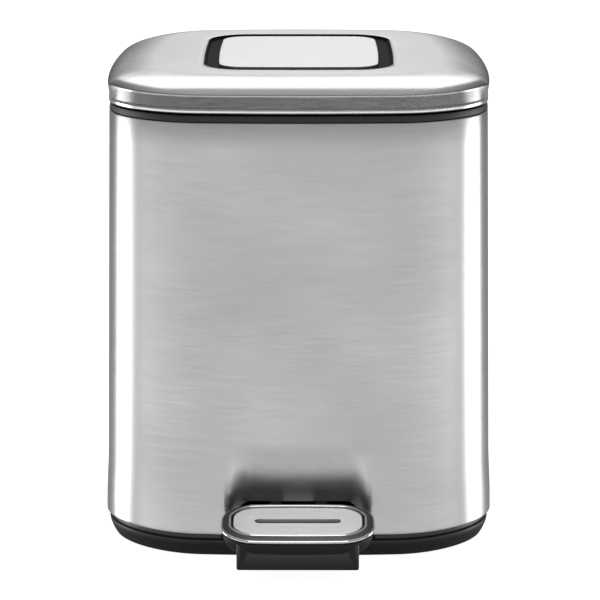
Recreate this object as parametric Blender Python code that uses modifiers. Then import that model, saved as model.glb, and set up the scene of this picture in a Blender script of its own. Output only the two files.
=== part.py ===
"""A small rounded-square pedal bin: steel skin and lid, plastic base, pedal, lever, push rod and bucket.

Units are metres, +Z is up and -Y is the front. The pieces are drawn about the centre line of the skin, and
bin_frame moves them all so that the origin is under the middle of the whole bin.
"""

import math

import bmesh
import bpy
from mathutils import Matrix, Vector

# Skin
BODY_HALF_WIDTH = 0.1021  # at its top edge
BODY_HALF_DEPTH = 0.1073
BODY_CORNER = 0.0470
BODY_BOW = 0.0065  # how far the corners stand back from the middle of each side
BODY_FLARE = 0.0031  # how much further out the skin stands at its bottom edge
FOOT_FLARE = 0.0006  # and a little more near the floor
FOOT_FLARE_TOP = 0.0450
FOOT_FLARE_HEIGHT = 0.0250
SKIN_BOTTOM = 0.0135
SKIN_HEIGHT = 0.2179
SHEET = 0.0008
GAP = 0.0003  # between pieces that touch

# Lid
LID_OVERHANG = 0.0006
LID_GAP = 0.0048  # from the skin's top edge to the lid's hem
LID_WALL = 0.0092  # from the hem to the waist, where the shoulder starts
LID_HEM_HEIGHT = 0.0024
LID_HEM_DEPTH = 0.0006
LID_RISE = 0.0097
LID_SHOULDER = 0.0260
LID_SHOULDER_POWER = 1.23
LID_SLOPE = 0.026  # the crown's rise for each metre towards the back
LINER_WALL = 0.0020
LINER_BELOW_CROWN = 0.0061
LINER_CLEARANCE = 0.0014  # inside the lid's sheet
LINER_SHOULDER = 0.0180
LINER_SHOULDER_BELOW = 0.0030
LINER_RAISED = 0.0004  # its edge stands this much above the hem

# Inlay on the lid
INLAY_HALF_WIDTH = 0.0508
INLAY_HALF_DEPTH = 0.0630
INLAY_CORNER = 0.0200
INLAY_BOW = 0.0012
INLAY_BAND = 0.0077
INLAY_DEPTH = 0.0011
INLAY_PROUD = 0.0003  # the frame's lip above the crown
INLAY_LIP = 0.0009
PLATE_PROUD = 0.0002
TRAY_FLOOR = 0.0014
INLAY_BOSS_RADIUS = 0.0032
INLAY_BOSS_FROM_SIDE = 0.0120
INLAY_BOSS_FROM_FRONT = 0.0160

# Base
BASE_BOTTOM = 0.0008
BASE_WALL = 0.0025
BASE_INSET = 0.0022  # the wall inside the skin, from the base's outer face
BASE_FOOT_INSET = 0.0070
BASE_BAND_BELOW = 0.0031  # from the skin's bottom edge down to the recessed band
DECK_TOP = 0.0435
DECK_THICKNESS = 0.0025
DECK_JOIN = 0.0010  # how far pieces of one moulding run into each other
COVER_BOTTOM = 0.0020
COVER_THICKNESS = 0.0020
COVER_CLEARANCE = 0.0005
COVER_SCREW_FROM_SIDE = 0.0320
COVER_BOSS_RADIUS = 0.0040
COVER_SCREW_LENGTH = 0.0100
COVER_BORE_DEPTH = 0.0120
FOOT_RADIUS = 0.0080
FOOT_STEM_RADIUS = 0.0020
FOOT_HOLE_RADIUS = 0.0024
FOOT_FROM_SIDE = 0.0240
FOOT_FROM_FRONT = 0.0480

# Scoop and opening at the front
SCOOP_HALF_WIDTH = 0.0355
SCOOP_EDGE = 0.0070
SCOOP_DEPTH = 0.0140
SCOOP_TOP = 0.0640
SCOOP_CLEARANCE = 0.0015
OPENING_HALF_WIDTH = 0.0325
OPENING_TOP = 0.0290
OPENING_CORNER = 0.0060

# Lid hinge and push rod
HINGE_BEHIND = 0.0045
HINGE_BELOW = 0.0040
HINGE_PIN_RADIUS = 0.0015
HINGE_PIN_PAST_EAR = 0.0016
PIN_CLEARANCE = 0.00025
HUB_RADIUS = 0.0040
HUB_HALF_WIDTH = 0.0080
HUB_CLEARANCE = 0.0004
EAR_THICKNESS = 0.0030
EAR_RIM = 0.0005  # the ears are this much larger than the hub
BRACKET_HALF_WIDTH = 0.0260
BRACKET_THICKNESS = 0.0025
BRACKET_SCREW_BELOW = 0.0120  # from the skin's top edge
BRACKET_SCREW_X = 0.0180
BRACKET_BELOW_SCREW = 0.0070
BRACKET_SCREW_LENGTH = 0.0060
CRANK_RADIUS = 0.0110
CRANK_ANGLE = math.radians(40)
CRANK_SIDE = 0.0055  # the crank plate's middle, to one side of the rod
CRANK_HALF_THICKNESS = 0.0017
CRANK_EYE = 0.0025  # metal round the rod's hook
CRANK_SLACK = 0.0008  # room round the rod's hook, because the crank's end moves on an arc
CRANK_ROOM = 0.0040
NOTCH_ROOM = 0.0015
SKIN_NOTCH_HALF_WIDTH = 0.0100
COLLAR_NOTCH_HALF_WIDTH = 0.0110
ARM_THICKNESS = 0.0016
ARM_SCREW_LENGTH = 0.0038
ARM_FOOT_FRONT = 0.0370  # from the lid's rear edge
ARM_SCREW_FROM_REAR = 0.0290
ARM_FOOT_REAR = 0.0205
ARM_WEB_FROM_REAR = 0.0095
ROD_RADIUS = 0.0015
ROD_BEND = 0.0025
ROD_PAST_CRANK = 0.0030
ROD_ROOM = 0.0080
LEVER_SLACK = 0.0004
GUIDE_HALF_WIDTH = 0.0060
GUIDE_HALF_HEIGHT = 0.0050
GUIDE_ABOVE_DECK = 0.0315
GUIDE_BELOW_TOP = 0.0364
GUIDE_FRONT = 0.0035
GUIDE_CLEARANCE = 0.0004
CLIP_WIDTH = 0.0014
CLIP_THICKNESS = 0.0010

# Pedal and lever
PEDAL_SLOPE = math.radians(10.0)
PEDAL_HALF_WIDTH = 0.0397
PEDAL_HALF_LENGTH = 0.0222
PEDAL_CORNER = 0.0175
PEDAL_RING = 0.0042
PEDAL_REACH = 0.0276  # from the skin's front to the pedal's middle
PEDAL_HEIGHT = 0.0288
RING_UNDER = 0.0024  # how far the ring reaches below the tread
PLATE_CLEARANCE = 0.0008
SLOT_HALF_LENGTH = 0.0223
SLOT_HALF_WIDTH = 0.0018
INSERT_MARGIN = 0.0030
CUP_WALL = 0.0028
BLOCK_HALF_WIDTH = 0.0314
BLOCK_BOTTOM = 0.0081
BLOCK_FRONT = 0.0456  # from the skin's front
BLOCK_BACK = 0.0018
LEVER_PIVOT_BACK = 0.0324  # from the skin's front
LEVER_HEIGHT = 0.0200
LEVER_HALF_WIDTH = 0.0080
LEVER_THICKNESS = 0.0030
LEVER_CLEARANCE = 0.0004
LEVER_HUB_RADIUS = 0.0045
LEVER_TAB_RADIUS = 0.0040
LEVER_PIN_RADIUS = 0.0020
LEVER_REACH = 0.0290  # from the skin's front to the lever's front end
CHEEK_GAP = 0.0010
CHEEK_THICKNESS = 0.0060
CHEEK_RADIUS = 0.0060
LEVER_PIN_PAST_CHEEK = 0.0025
PEDAL_SCREW_LENGTH = 0.0060

# Collar and bucket
COLLAR_RECESS = 0.0009
COLLAR_WIDTH = 0.0071
COLLAR_RISE = 0.0038
COLLAR_DROP = 0.0140
COLLAR_NECK = 0.0022
COLLAR_FIT = 0.0002
BUMPER_X = 0.0400
BUMPER_RADIUS = 0.0022
BUMPER_STEM_RADIUS = 0.0011
BUMPER_STEM_LENGTH = 0.0028
BUMPER_HOLE_RADIUS = 0.0014
BUCKET_GAP = 0.0020  # to the collar's inner edge
BUCKET_BACK_GAP = 0.0030  # more at the back, where the crank swings
BUCKET_DRAFT = 0.0075
BUCKET_WALL = 0.0018
BUCKET_RIM = 0.0035
BUCKET_RISE = 0.0006  # its rim above the skin's top edge
BAIL_RADIUS = 0.0015
BAIL_GAP = 0.0007
BAIL_BEND = 0.0016
LUG_THICKNESS = 0.0032
LUG_HALF_WIDTH = 0.0060
LUG_DROP = 0.0120

# Screws: head radius, head height, shank radius
SCREW_HEAD = 0.0030
SCREW_HEAD_HEIGHT = 0.0012
SCREW_SHANK = 0.0011
SCREW_HOLE = 0.0015

# Places that follow from the sizes above
SKIN_TOP = SKIN_BOTTOM + SKIN_HEIGHT
FOOT_HALF_DEPTH = BODY_HALF_DEPTH + BODY_FLARE + FOOT_FLARE
LID_HALF_WIDTH = BODY_HALF_WIDTH + LID_OVERHANG
LID_HALF_DEPTH = BODY_HALF_DEPTH + LID_OVERHANG
LID_HEM_BOTTOM = SKIN_TOP + LID_GAP
LID_WAIST = LID_HEM_BOTTOM + LID_WALL
LID_CROWN = LID_WAIST + LID_RISE
LINER_CROWN = LID_CROWN - LINER_BELOW_CROWN
HINGE_Y = LID_HALF_DEPTH + HINGE_BEHIND
HINGE_Z = LID_HEM_BOTTOM - HINGE_BELOW
EAR_RADIUS = HUB_RADIUS + EAR_RIM
EAR_INNER = HUB_HALF_WIDTH + HUB_CLEARANCE
ROD_Y = HINGE_Y - CRANK_RADIUS * math.cos(CRANK_ANGLE)
ROD_TOP = HINGE_Z - CRANK_RADIUS * math.sin(CRANK_ANGLE)
ROD_BOTTOM = LEVER_HEIGHT
ROD_HOOK = CRANK_SIDE + CRANK_HALF_THICKNESS + ROD_PAST_CRANK
CRANK_LOW = HINGE_Z - (CRANK_RADIUS + CRANK_ROOM) * math.sin(CRANK_ANGLE) - NOTCH_ROOM
BRACKET_SCREW_Z = SKIN_TOP - BRACKET_SCREW_BELOW
FRONT_Y = -FOOT_HALF_DEPTH
PEDAL_Y = FRONT_Y - PEDAL_REACH
PIVOT_Y = FRONT_Y + LEVER_PIVOT_BACK
LEVER_FRONT_Y = FRONT_Y - LEVER_REACH
DECK_BOTTOM = DECK_TOP - DECK_THICKNESS
BASE_BAND = SKIN_BOTTOM - BASE_BAND_BELOW
COVER_TOP = COVER_BOTTOM + COVER_THICKNESS
COLLAR_TOP = SKIN_TOP + COLLAR_RISE
COLLAR_INNER = COLLAR_RECESS + COLLAR_WIDTH
BUMPER_Y = -BODY_HALF_DEPTH + COLLAR_RECESS + COLLAR_WIDTH / 2 + LID_OVERHANG
BUCKET_CENTRE_Y = (BUCKET_GAP - BUCKET_BACK_GAP) / 2
BUCKET_HALF_WIDTH = BODY_HALF_WIDTH - COLLAR_INNER - BUCKET_GAP
BUCKET_HALF_DEPTH = BODY_HALF_DEPTH - COLLAR_INNER - (BUCKET_GAP + BUCKET_BACK_GAP) / 2
BUCKET_BOTTOM = DECK_TOP + GAP
BUCKET_TOP = SKIN_TOP + BUCKET_RISE
BAIL_Z = BUCKET_TOP + BAIL_GAP + BAIL_RADIUS
BAIL_HALF_WIDTH = BUCKET_HALF_WIDTH - BUCKET_RIM / 2
BAIL_LENGTH = BUCKET_HALF_DEPTH - BUCKET_RIM / 2
LUG_OUTER = BAIL_HALF_WIDTH - BAIL_RADIUS - 0.0014
PEDAL_FRONT_Y = PEDAL_Y - PEDAL_HALF_LENGTH * math.cos(PEDAL_SLOPE)
BIN_CENTRE_Y = -(PEDAL_FRONT_Y + HINGE_Y + EAR_RADIUS) / 2

CORNER_STEPS = 5
PARTS = None
TOOLS = None
GROUPS = {}


# ---------------------------------------------------------------- scene and placing


def clear_scene():
    for old in list(bpy.data.objects):
        bpy.data.objects.remove(old, do_unlink=True)


def add_collection(name):
    made = bpy.data.collections.new(name)
    bpy.context.scene.collection.children.link(made)
    return made


def add_group(name, place, parent=None):
    """An empty on a joint's axis. Pieces are drawn about the skin's centre line and hang on their empty."""
    empty = bpy.data.objects.new(name, None)
    empty.empty_display_size = 0.02
    PARTS.objects.link(empty)
    corner = Vector(place)
    if parent:
        empty.parent = GROUPS[parent][0]
        empty.location = corner - GROUPS[parent][1]
    else:
        empty.location = corner + Vector((0, BIN_CENTRE_Y, 0))
    GROUPS[name] = (empty, corner)


def place(obj, group):
    empty, corner = GROUPS[group]
    obj.parent = empty
    obj.matrix_parent_inverse = Matrix.Translation(-corner)


def material(name, colour, metallic, roughness):
    found = bpy.data.materials.get(name)
    if found:
        return found
    made = bpy.data.materials.new(name)
    made.use_nodes = True
    shader = made.node_tree.nodes["Principled BSDF"]
    shader.inputs["Base Color"].default_value = (*colour, 1)
    shader.inputs["Metallic"].default_value = metallic
    shader.inputs["Roughness"].default_value = roughness
    made.diffuse_color = (*colour, 1)
    return made


def brushed_steel():
    return material("brushed_steel", (0.60, 0.60, 0.61), 1.0, 0.30)


def polished_steel():
    return material("polished_steel", (0.75, 0.75, 0.76), 1.0, 0.12)


def zinc_steel():
    return material("zinc_steel", (0.55, 0.56, 0.58), 1.0, 0.38)


def black_plastic():
    return material("black_plastic", (0.018, 0.018, 0.019), 0.0, 0.42)


def grey_plastic():
    return material("grey_plastic", (0.10, 0.10, 0.105), 0.0, 0.50)


def black_rubber():
    return material("black_rubber", (0.012, 0.012, 0.012), 0.0, 0.80)


def add_object(name, data, group, finish):
    obj = bpy.data.objects.new(name, data)
    PARTS.objects.link(obj)
    place(obj, group)
    own = finish().copy()
    own.name = name + "_finish"
    data.materials.append(own)
    return obj


def piece_from(bm, name, group, finish):
    bmesh.ops.recalc_face_normals(bm, faces=bm.faces)
    mesh = bpy.data.meshes.new(name)
    bm.to_mesh(mesh)
    bm.free()
    mesh.shade_smooth()
    mesh.set_sharp_from_angle(angle=math.radians(35))
    return add_object(name, mesh, group, finish)


def tool_from(bm, name, group):
    bmesh.ops.recalc_face_normals(bm, faces=bm.faces)
    mesh = bpy.data.meshes.new(name)
    bm.to_mesh(mesh)
    bm.free()
    obj = bpy.data.objects.new(name, mesh)
    TOOLS.objects.link(obj)
    place(obj, group)
    obj.hide_render = True
    obj.display_type = "WIRE"
    return obj


def boolean(target, tool, operation):
    step = target.modifiers.new(tool.name, "BOOLEAN")
    step.operation = operation
    step.solver = "EXACT"
    step.object = tool


def cut(target, bm, name, group="bin_frame"):
    boolean(target, tool_from(bm, name, group), "DIFFERENCE")


def join(target, bm, name, group="bin_frame"):
    boolean(target, tool_from(bm, name, group), "UNION")


def solidify(obj, thickness, offset=-1.0):
    step = obj.modifiers.new("wall", "SOLIDIFY")
    step.thickness = thickness
    step.offset = offset
    step.use_even_offset = True


# ---------------------------------------------------------------- shapes


def corner_points(cx, cy, radius, start):
    for step in range(CORNER_STEPS + 1):
        turn = start + math.pi / 2 * step / CORNER_STEPS
        yield cx + radius * math.cos(turn), cy + radius * math.sin(turn)


def side_points(first, last, steps):
    for step in range(1, steps):
        share = step / steps
        yield first[0] + (last[0] - first[0]) * share, first[1] + (last[1] - first[1]) * share


def rounded_outline(half_x, half_y, corner, bow, sides=(2, 2, 2, 2)):
    """A rounded rectangle, counter-clockwise from +X +Y, with sides that bow out at their middles."""
    corner = max(corner, 0.0006)
    arcs = []
    for sx, sy, quarter in ((1, 1, 0), (-1, 1, 1), (-1, -1, 2), (1, -1, 3)):
        centre = (sx * (half_x - corner), sy * (half_y - corner))
        arcs.append(list(corner_points(*centre, corner, quarter * math.pi / 2)))
    points = []
    for index, arc in enumerate(arcs):
        points += arc
        points += side_points(arc[-1], arcs[(index + 1) % 4][0], sides[index])
    bowed = []
    for x, y in points:
        narrow = 1 - bow / half_x * (y / half_y) ** 2
        shallow = 1 - bow / half_y * (x / half_x) ** 2
        bowed.append((x * narrow, y * shallow))
    return bowed


class Plan:
    """The outline that a piece follows, and how far out it stands at a height."""

    def __init__(self, half_x, half_y, corner, bow=0.0, centre_y=0.0, sides=(2, 2, 2, 2)):
        self.half_x = half_x
        self.half_y = half_y
        self.corner = corner
        self.bow = bow
        self.centre_y = centre_y
        self.sides = sides

    def ring(self, outset, z):
        outline = rounded_outline(
            self.half_x + outset, self.half_y + outset, self.corner + outset, self.bow, self.sides
        )
        return [Vector((x, y + self.centre_y, z)) for x, y in outline]


def body_plan(sides=(2, 2, 2, 2)):
    return Plan(BODY_HALF_WIDTH, BODY_HALF_DEPTH, BODY_CORNER, BODY_BOW, 0.0, sides)


def lid_plan():
    return Plan(LID_HALF_WIDTH, LID_HALF_DEPTH, BODY_CORNER + LID_OVERHANG, BODY_BOW)


def ease(share):
    share = min(max(share, 0.0), 1.0)
    return share * share * (3 - 2 * share)


def skin_outset(z):
    """How far the skin stands out at a height, from its outline at the top edge."""
    flare = BODY_FLARE * (SKIN_TOP - z) / SKIN_HEIGHT
    return flare + FOOT_FLARE * ease((FOOT_FLARE_TOP - z) / FOOT_FLARE_HEIGHT)


def loft(rings, close_ends=False, join_ends=False):
    """Faces between rings that have the same number of points."""
    bm = bmesh.new()
    rows = [[bm.verts.new(point) for point in ring] for ring in rings]
    pairs = list(zip(rows, rows[1:]))
    if join_ends:
        pairs.append((rows[-1], rows[0]))
    for low, high in pairs:
        count = len(low)
        for i in range(count):
            j = (i + 1) % count
            bm.faces.new((low[i], low[j], high[j], high[i]))
    if close_ends:
        bm.faces.new(rows[0])
        bm.faces.new(rows[-1])
    bmesh.ops.recalc_face_normals(bm, faces=bm.faces)
    return bm


def ring_solid(plan, section):
    """A solid frame: each (outset, z) of a closed section goes once round the plan."""
    return loft([plan.ring(outset, z) for outset, z in section], join_ends=True)


def stacked_solid(plan, section):
    return loft([plan.ring(outset, z) for outset, z in section], close_ends=True)


def box(low, high):
    bm = bmesh.new()
    size = Vector(high) - Vector(low)
    middle = (Vector(high) + Vector(low)) / 2
    matrix = Matrix.Translation(middle) @ Matrix.Diagonal((*size, 1))
    bmesh.ops.create_cube(bm, size=1.0, matrix=matrix)
    return bm


def cylinder(start, end, radius, segments=16):
    bm = bmesh.new()
    start, end = Vector(start), Vector(end)
    span = end - start
    turn = span.to_track_quat("Z", "Y").to_matrix().to_4x4()
    matrix = Matrix.Translation((start + end) / 2) @ turn
    bmesh.ops.create_cone(
        bm,
        cap_ends=True,
        segments=segments,
        radius1=radius,
        radius2=radius,
        depth=span.length,
        matrix=matrix,
    )
    return bm


def extruded(points, low_x, high_x):
    """A plate across X, from its outline in Y and Z."""
    bm = bmesh.new()
    face = bm.faces.new([bm.verts.new((low_x, y, z)) for y, z in points])
    grown = bmesh.ops.extrude_face_region(bm, geom=[face])
    moved = [item for item in grown["geom"] if isinstance(item, bmesh.types.BMVert)]
    bmesh.ops.translate(bm, verts=moved, vec=(high_x - low_x, 0, 0))
    bmesh.ops.recalc_face_normals(bm, faces=bm.faces)
    return bm


def arc(centre, radius, first, last, steps):
    """Points round a centre in Y and Z, by angles in degrees."""
    for step in range(steps + 1):
        turn = math.radians(first + (last - first) * step / steps)
        yield centre[0] + radius * math.cos(turn), centre[1] + radius * math.sin(turn)


def long_hole(centre, angle, reach_in, reach_out, radius, low_x, high_x):
    """A cutter with round ends in Y and Z, along an angle in degrees from its centre."""
    turn = math.radians(angle)
    along = (math.cos(turn), math.sin(turn))
    near = (centre[0] + along[0] * reach_in, centre[1] + along[1] * reach_in)
    far = (centre[0] + along[0] * reach_out, centre[1] + along[1] * reach_out)
    points = list(arc(near, radius, angle + 90, angle + 270, 8))
    points += list(arc(far, radius, angle - 90, angle + 90, 8))
    return extruded(points, low_x, high_x)


def turned(name, profile, base, direction, group, finish, steps=12):
    """A round piece: its profile runs down its outer side, and its axis points along direction."""
    mesh = bpy.data.meshes.new(name)
    bm = bmesh.new()
    verts = [bm.verts.new((radius, 0, height)) for radius, height in profile]
    for first, second in zip(verts, verts[1:]):
        bm.edges.new((first, second))
    bm.to_mesh(mesh)
    bm.free()
    obj = add_object(name, mesh, group, finish)
    step = obj.modifiers.new("turn", "SCREW")
    step.axis = "Z"
    step.steps = steps
    step.render_steps = steps
    step.use_merge_vertices = True
    step.merge_threshold = 0.00001
    step.use_smooth_shade = True
    turn = Vector(direction).to_track_quat("Z", "Y").to_matrix().to_4x4()
    obj.matrix_parent_inverse = obj.matrix_parent_inverse @ Matrix.Translation(base) @ turn
    return obj


def screw(name, seat, direction, length, group, finish):
    """seat is under the head, and direction points from the head's top out of the hole."""
    head = SCREW_HEAD_HEIGHT
    profile = [
        (0, head),
        (SCREW_HEAD * 0.8, head),
        (SCREW_HEAD, head * 0.5),
        (SCREW_HEAD, 0),
        (SCREW_SHANK, 0),
        (SCREW_SHANK, -length),
        (0, -length - SCREW_SHANK),
    ]
    return turned(name, profile, seat, direction, group, finish, steps=8)


def wire(name, points, radius, group, finish):
    curve = bpy.data.curves.new(name, "CURVE")
    curve.dimensions = "3D"
    curve.bevel_depth = radius
    curve.bevel_resolution = 2
    curve.use_fill_caps = True
    spline = curve.splines.new("POLY")
    spline.points.add(len(points) - 1)
    for point, spot in zip(spline.points, points):
        point.co = (*spot, 1)
    spline.use_smooth = True
    return add_object(name, curve, group, finish)


def rounded_path(corners, radius, steps=4):
    """A path through corners, with each inner corner made round."""
    path = [Vector(corners[0])]
    for before, middle, after in zip(corners, corners[1:], corners[2:]):
        middle = Vector(middle)
        inward = (Vector(before) - middle).normalized()
        outward = (Vector(after) - middle).normalized()
        first = middle + inward * radius
        last = middle + outward * radius
        for step in range(steps + 1):
            share = step / steps
            lead = first.lerp(middle, share)
            trail = middle.lerp(last, share)
            path.append(lead.lerp(trail, share))
    path.append(Vector(corners[-1]))
    return path


# ---------------------------------------------------------------- skin, collar and base


def scoop_push(x, z):
    """How far the front is pressed in at a place on it."""
    across = ease((SCOOP_HALF_WIDTH + SCOOP_EDGE / 2 - abs(x)) / SCOOP_EDGE)
    down = ease((SCOOP_TOP - z) / (SCOOP_TOP - OPENING_TOP))
    return SCOOP_DEPTH * across * down


def make_body_shell():
    plan = body_plan(sides=(2, 2, 22, 2))
    low_rows = [SKIN_BOTTOM + (SCOOP_TOP - SKIN_BOTTOM) * step / 9 for step in range(10)]
    rings = []
    for z in low_rows + [SKIN_TOP]:
        ring = plan.ring(skin_outset(z), z)
        for point in ring:
            if point.y < 0:
                point.y += scoop_push(point.x, z)
        rings.append(ring)
    shell = piece_from(loft(rings), "body_shell", "bin_frame", brushed_steel)
    solidify(shell, SHEET)
    cut(shell, opening_cutter(), "opening_cut")
    cut(shell, hinge_notch(SKIN_NOTCH_HALF_WIDTH), "skin_notch_cut")
    for number, x in enumerate(bracket_screw_places(), 1):
        hole = cylinder((x, ROD_Y, BRACKET_SCREW_Z), (x, HINGE_Y, BRACKET_SCREW_Z), SCREW_HOLE + GAP)
        cut(shell, hole, f"skin_screw_hole_{number}")


def opening_cutter():
    """A slot up from the bottom edge with round top corners."""
    bm = box(
        (-OPENING_HALF_WIDTH, FRONT_Y - 0.01, 0),
        (OPENING_HALF_WIDTH, FRONT_Y + 0.03, OPENING_TOP),
    )
    upper = [
        edge
        for edge in bm.edges
        if all(v.co.z > OPENING_TOP - 0.001 for v in edge.verts)
        and abs(edge.verts[0].co.x - edge.verts[1].co.x) < 0.001
    ]
    bmesh.ops.bevel(bm, geom=upper, offset=OPENING_CORNER, segments=4, affect="EDGES", profile=0.5)
    return bm


def bracket_screw_places():
    return (-BRACKET_SCREW_X, BRACKET_SCREW_X)


def hinge_notch(half_width):
    """The space that the crank and the rod's top need through the skin and the collar."""
    return box((-half_width, ROD_Y - ROD_ROOM, CRANK_LOW), (half_width, HINGE_Y, LID_CROWN))


def make_top_collar():
    plan = body_plan()
    shelf = SKIN_TOP + GAP
    neck = SHEET + GAP + COLLAR_FIT
    section = [
        (-COLLAR_RECESS, shelf),
        (-COLLAR_RECESS, COLLAR_TOP),
        (-COLLAR_INNER, COLLAR_TOP),
        (-COLLAR_INNER, shelf),
        (-neck - COLLAR_NECK, shelf - COLLAR_NECK),
        (-neck - COLLAR_NECK, SKIN_TOP - COLLAR_DROP),
        (-neck, SKIN_TOP - COLLAR_DROP),
        (-neck, shelf),
    ]
    collar = piece_from(ring_solid(plan, section), "top_collar", "bin_frame", black_plastic)
    side = COLLAR_NOTCH_HALF_WIDTH
    cut(collar, hinge_notch(side), "collar_notch_cut")
    slot = box((-side, ROD_Y - ROD_ROOM, SKIN_TOP - 2 * COLLAR_DROP), (side, HINGE_Y, LID_CROWN))
    cut(collar, slot, "collar_rod_cut")
    for number, x in enumerate(bracket_screw_places(), 1):
        hole = cylinder((x, ROD_Y - 0.01, BRACKET_SCREW_Z), (x, HINGE_Y, BRACKET_SCREW_Z), SCREW_HOLE)
        cut(collar, hole, f"collar_screw_hole_{number}")
    for number, x in enumerate(bumper_places(), 1):
        hole = cylinder((x, BUMPER_Y, SKIN_TOP - 0.01), (x, BUMPER_Y, LID_CROWN), BUMPER_HOLE_RADIUS)
        cut(collar, hole, f"bumper_hole_{number}")


def bumper_places():
    return (-BUMPER_X, BUMPER_X)


def make_lid_bumpers():
    room = LID_HEM_BOTTOM + LINER_RAISED - COLLAR_TOP - 2 * GAP
    for number, x in enumerate(bumper_places(), 1):
        profile = [
            (0, room),
            (BUMPER_RADIUS * 0.75, room),
            (BUMPER_RADIUS, room * 0.4),
            (BUMPER_RADIUS, 0),
            (BUMPER_STEM_RADIUS, 0),
            (BUMPER_STEM_RADIUS, -BUMPER_STEM_LENGTH),
            (0, -BUMPER_STEM_LENGTH),
        ]
        base = (x, BUMPER_Y, COLLAR_TOP + GAP)
        turned(f"lid_bumper_{number}", profile, base, (0, 0, 1), "bin_frame", black_rubber)


def make_base_housing():
    out = BODY_FLARE
    plan = body_plan()
    wall_out = out - BASE_INSET
    wall_in = wall_out - BASE_WALL
    section = [
        (out - 0.0045, BASE_BOTTOM),
        (out - 0.0026, 0.0040),
        (out - 0.0012, 0.0075),
        (out - 0.0008, BASE_BAND - 0.0005),
        (wall_out, BASE_BAND),
        (wall_out, DECK_TOP - 0.0010),
        (wall_out - 0.0010, DECK_TOP),
        (wall_in, DECK_TOP),
        (wall_in, BASE_BAND - 0.0010),
        (out - BASE_FOOT_INSET, 0.0060),
        (out - BASE_FOOT_INSET, BASE_BOTTOM),
    ]
    base = piece_from(ring_solid(plan, section), "base_housing", "bin_frame", black_plastic)
    deck = [(wall_in + DECK_JOIN, DECK_BOTTOM), (wall_in + DECK_JOIN, DECK_TOP - 0.0002)]
    join(base, stacked_solid(plan, deck), "deck_join")
    for side in (-1, 1):
        near = side * (LEVER_HALF_WIDTH + CHEEK_GAP)
        far = near + side * CHEEK_THICKNESS
        points = [(PIVOT_Y - 1.5 * CHEEK_RADIUS, DECK_BOTTOM + DECK_JOIN)]
        points += list(arc((PIVOT_Y, LEVER_HEIGHT), CHEEK_RADIUS, 180, 360, 8))
        points += [(PIVOT_Y + 1.5 * CHEEK_RADIUS, DECK_BOTTOM + DECK_JOIN)]
        cheek = extruded(points, min(near, far), max(near, far))
        join(base, cheek, f"cheek_join_{side}")
    reach = LEVER_HALF_WIDTH + CHEEK_GAP + CHEEK_THICKNESS + 0.0050
    pin_hole = cylinder(
        (-reach, PIVOT_Y, LEVER_HEIGHT),
        (reach, PIVOT_Y, LEVER_HEIGHT),
        LEVER_PIN_RADIUS + PIN_CLEARANCE,
    )
    for number, spot in enumerate(cover_screw_places(), 1):
        boss = cylinder((*spot, COVER_TOP + GAP), (*spot, DECK_BOTTOM + DECK_JOIN), COVER_BOSS_RADIUS, 12)
        join(base, boss, f"boss_join_{number}")
        bore = cylinder((*spot, 0), (*spot, COVER_TOP + COVER_BORE_DEPTH), SCREW_HOLE, 12)
        cut(base, bore, f"boss_bore_{number}")
    cut(base, pin_hole, "lever_pin_hole")
    scoop_room = SCOOP_HALF_WIDTH + SCOOP_EDGE / 2 + SCOOP_CLEARANCE
    front = box(
        (-scoop_room, FRONT_Y - 0.01, BASE_BAND + 0.0005),
        (scoop_room, FRONT_Y + SCOOP_DEPTH + 0.0060, SCOOP_TOP),
    )
    cut(base, front, "front_room_cut")
    side = ROD_HOOK + GAP + CLIP_THICKNESS
    rear = box((-side, ROD_Y - 0.0090, BASE_BAND + 0.0021), (side, HINGE_Y + 0.01, SCOOP_TOP))
    cut(base, rear, "rod_room_cut")


def cover_screw_places():
    x = BODY_HALF_WIDTH - COVER_SCREW_FROM_SIDE
    y = BODY_HALF_DEPTH - COVER_SCREW_FROM_SIDE
    return [(sx * x, sy * y) for sx in (-1, 1) for sy in (-1, 1)]


def foot_places():
    x = BODY_HALF_WIDTH - FOOT_FROM_SIDE
    y = BODY_HALF_DEPTH - FOOT_FROM_FRONT
    return [(sx * x, sy * y) for sx in (-1, 1) for sy in (-1, 1)]


def make_bottom_cover():
    inner = BODY_FLARE - BASE_FOOT_INSET - COVER_CLEARANCE
    section = [(inner, COVER_BOTTOM), (inner, COVER_TOP)]
    cover = piece_from(stacked_solid(body_plan(), section), "bottom_cover", "bin_frame", black_plastic)
    for number, spot in enumerate(cover_screw_places(), 1):
        hole = cylinder((*spot, 0), (*spot, COVER_TOP + 0.01), SCREW_HOLE, 12)
        cut(cover, hole, f"cover_screw_hole_{number}")
    for number, spot in enumerate(foot_places(), 1):
        hole = cylinder((*spot, 0), (*spot, COVER_TOP + 0.01), FOOT_HOLE_RADIUS, 12)
        cut(cover, hole, f"cover_foot_hole_{number}")


def make_feet_and_base_screws():
    pad = COVER_BOTTOM - GAP
    for number, spot in enumerate(foot_places(), 1):
        profile = [
            (0, COVER_TOP + 0.0015),
            (FOOT_STEM_RADIUS * 0.6, COVER_TOP + 0.0015),
            (FOOT_STEM_RADIUS, COVER_TOP),
            (FOOT_STEM_RADIUS, pad),
            (FOOT_RADIUS, pad),
            (FOOT_RADIUS - 0.0006, 0),
            (0, 0),
        ]
        turned(f"rubber_foot_{number}", profile, (*spot, 0), (0, 0, 1), "bin_frame", black_rubber)
    for number, spot in enumerate(cover_screw_places(), 1):
        seat = (*spot, COVER_BOTTOM - GAP)
        screw(f"base_screw_{number}", seat, (0, 0, -1), COVER_SCREW_LENGTH, "bin_frame", zinc_steel)


# ---------------------------------------------------------------- hinge at the back


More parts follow.
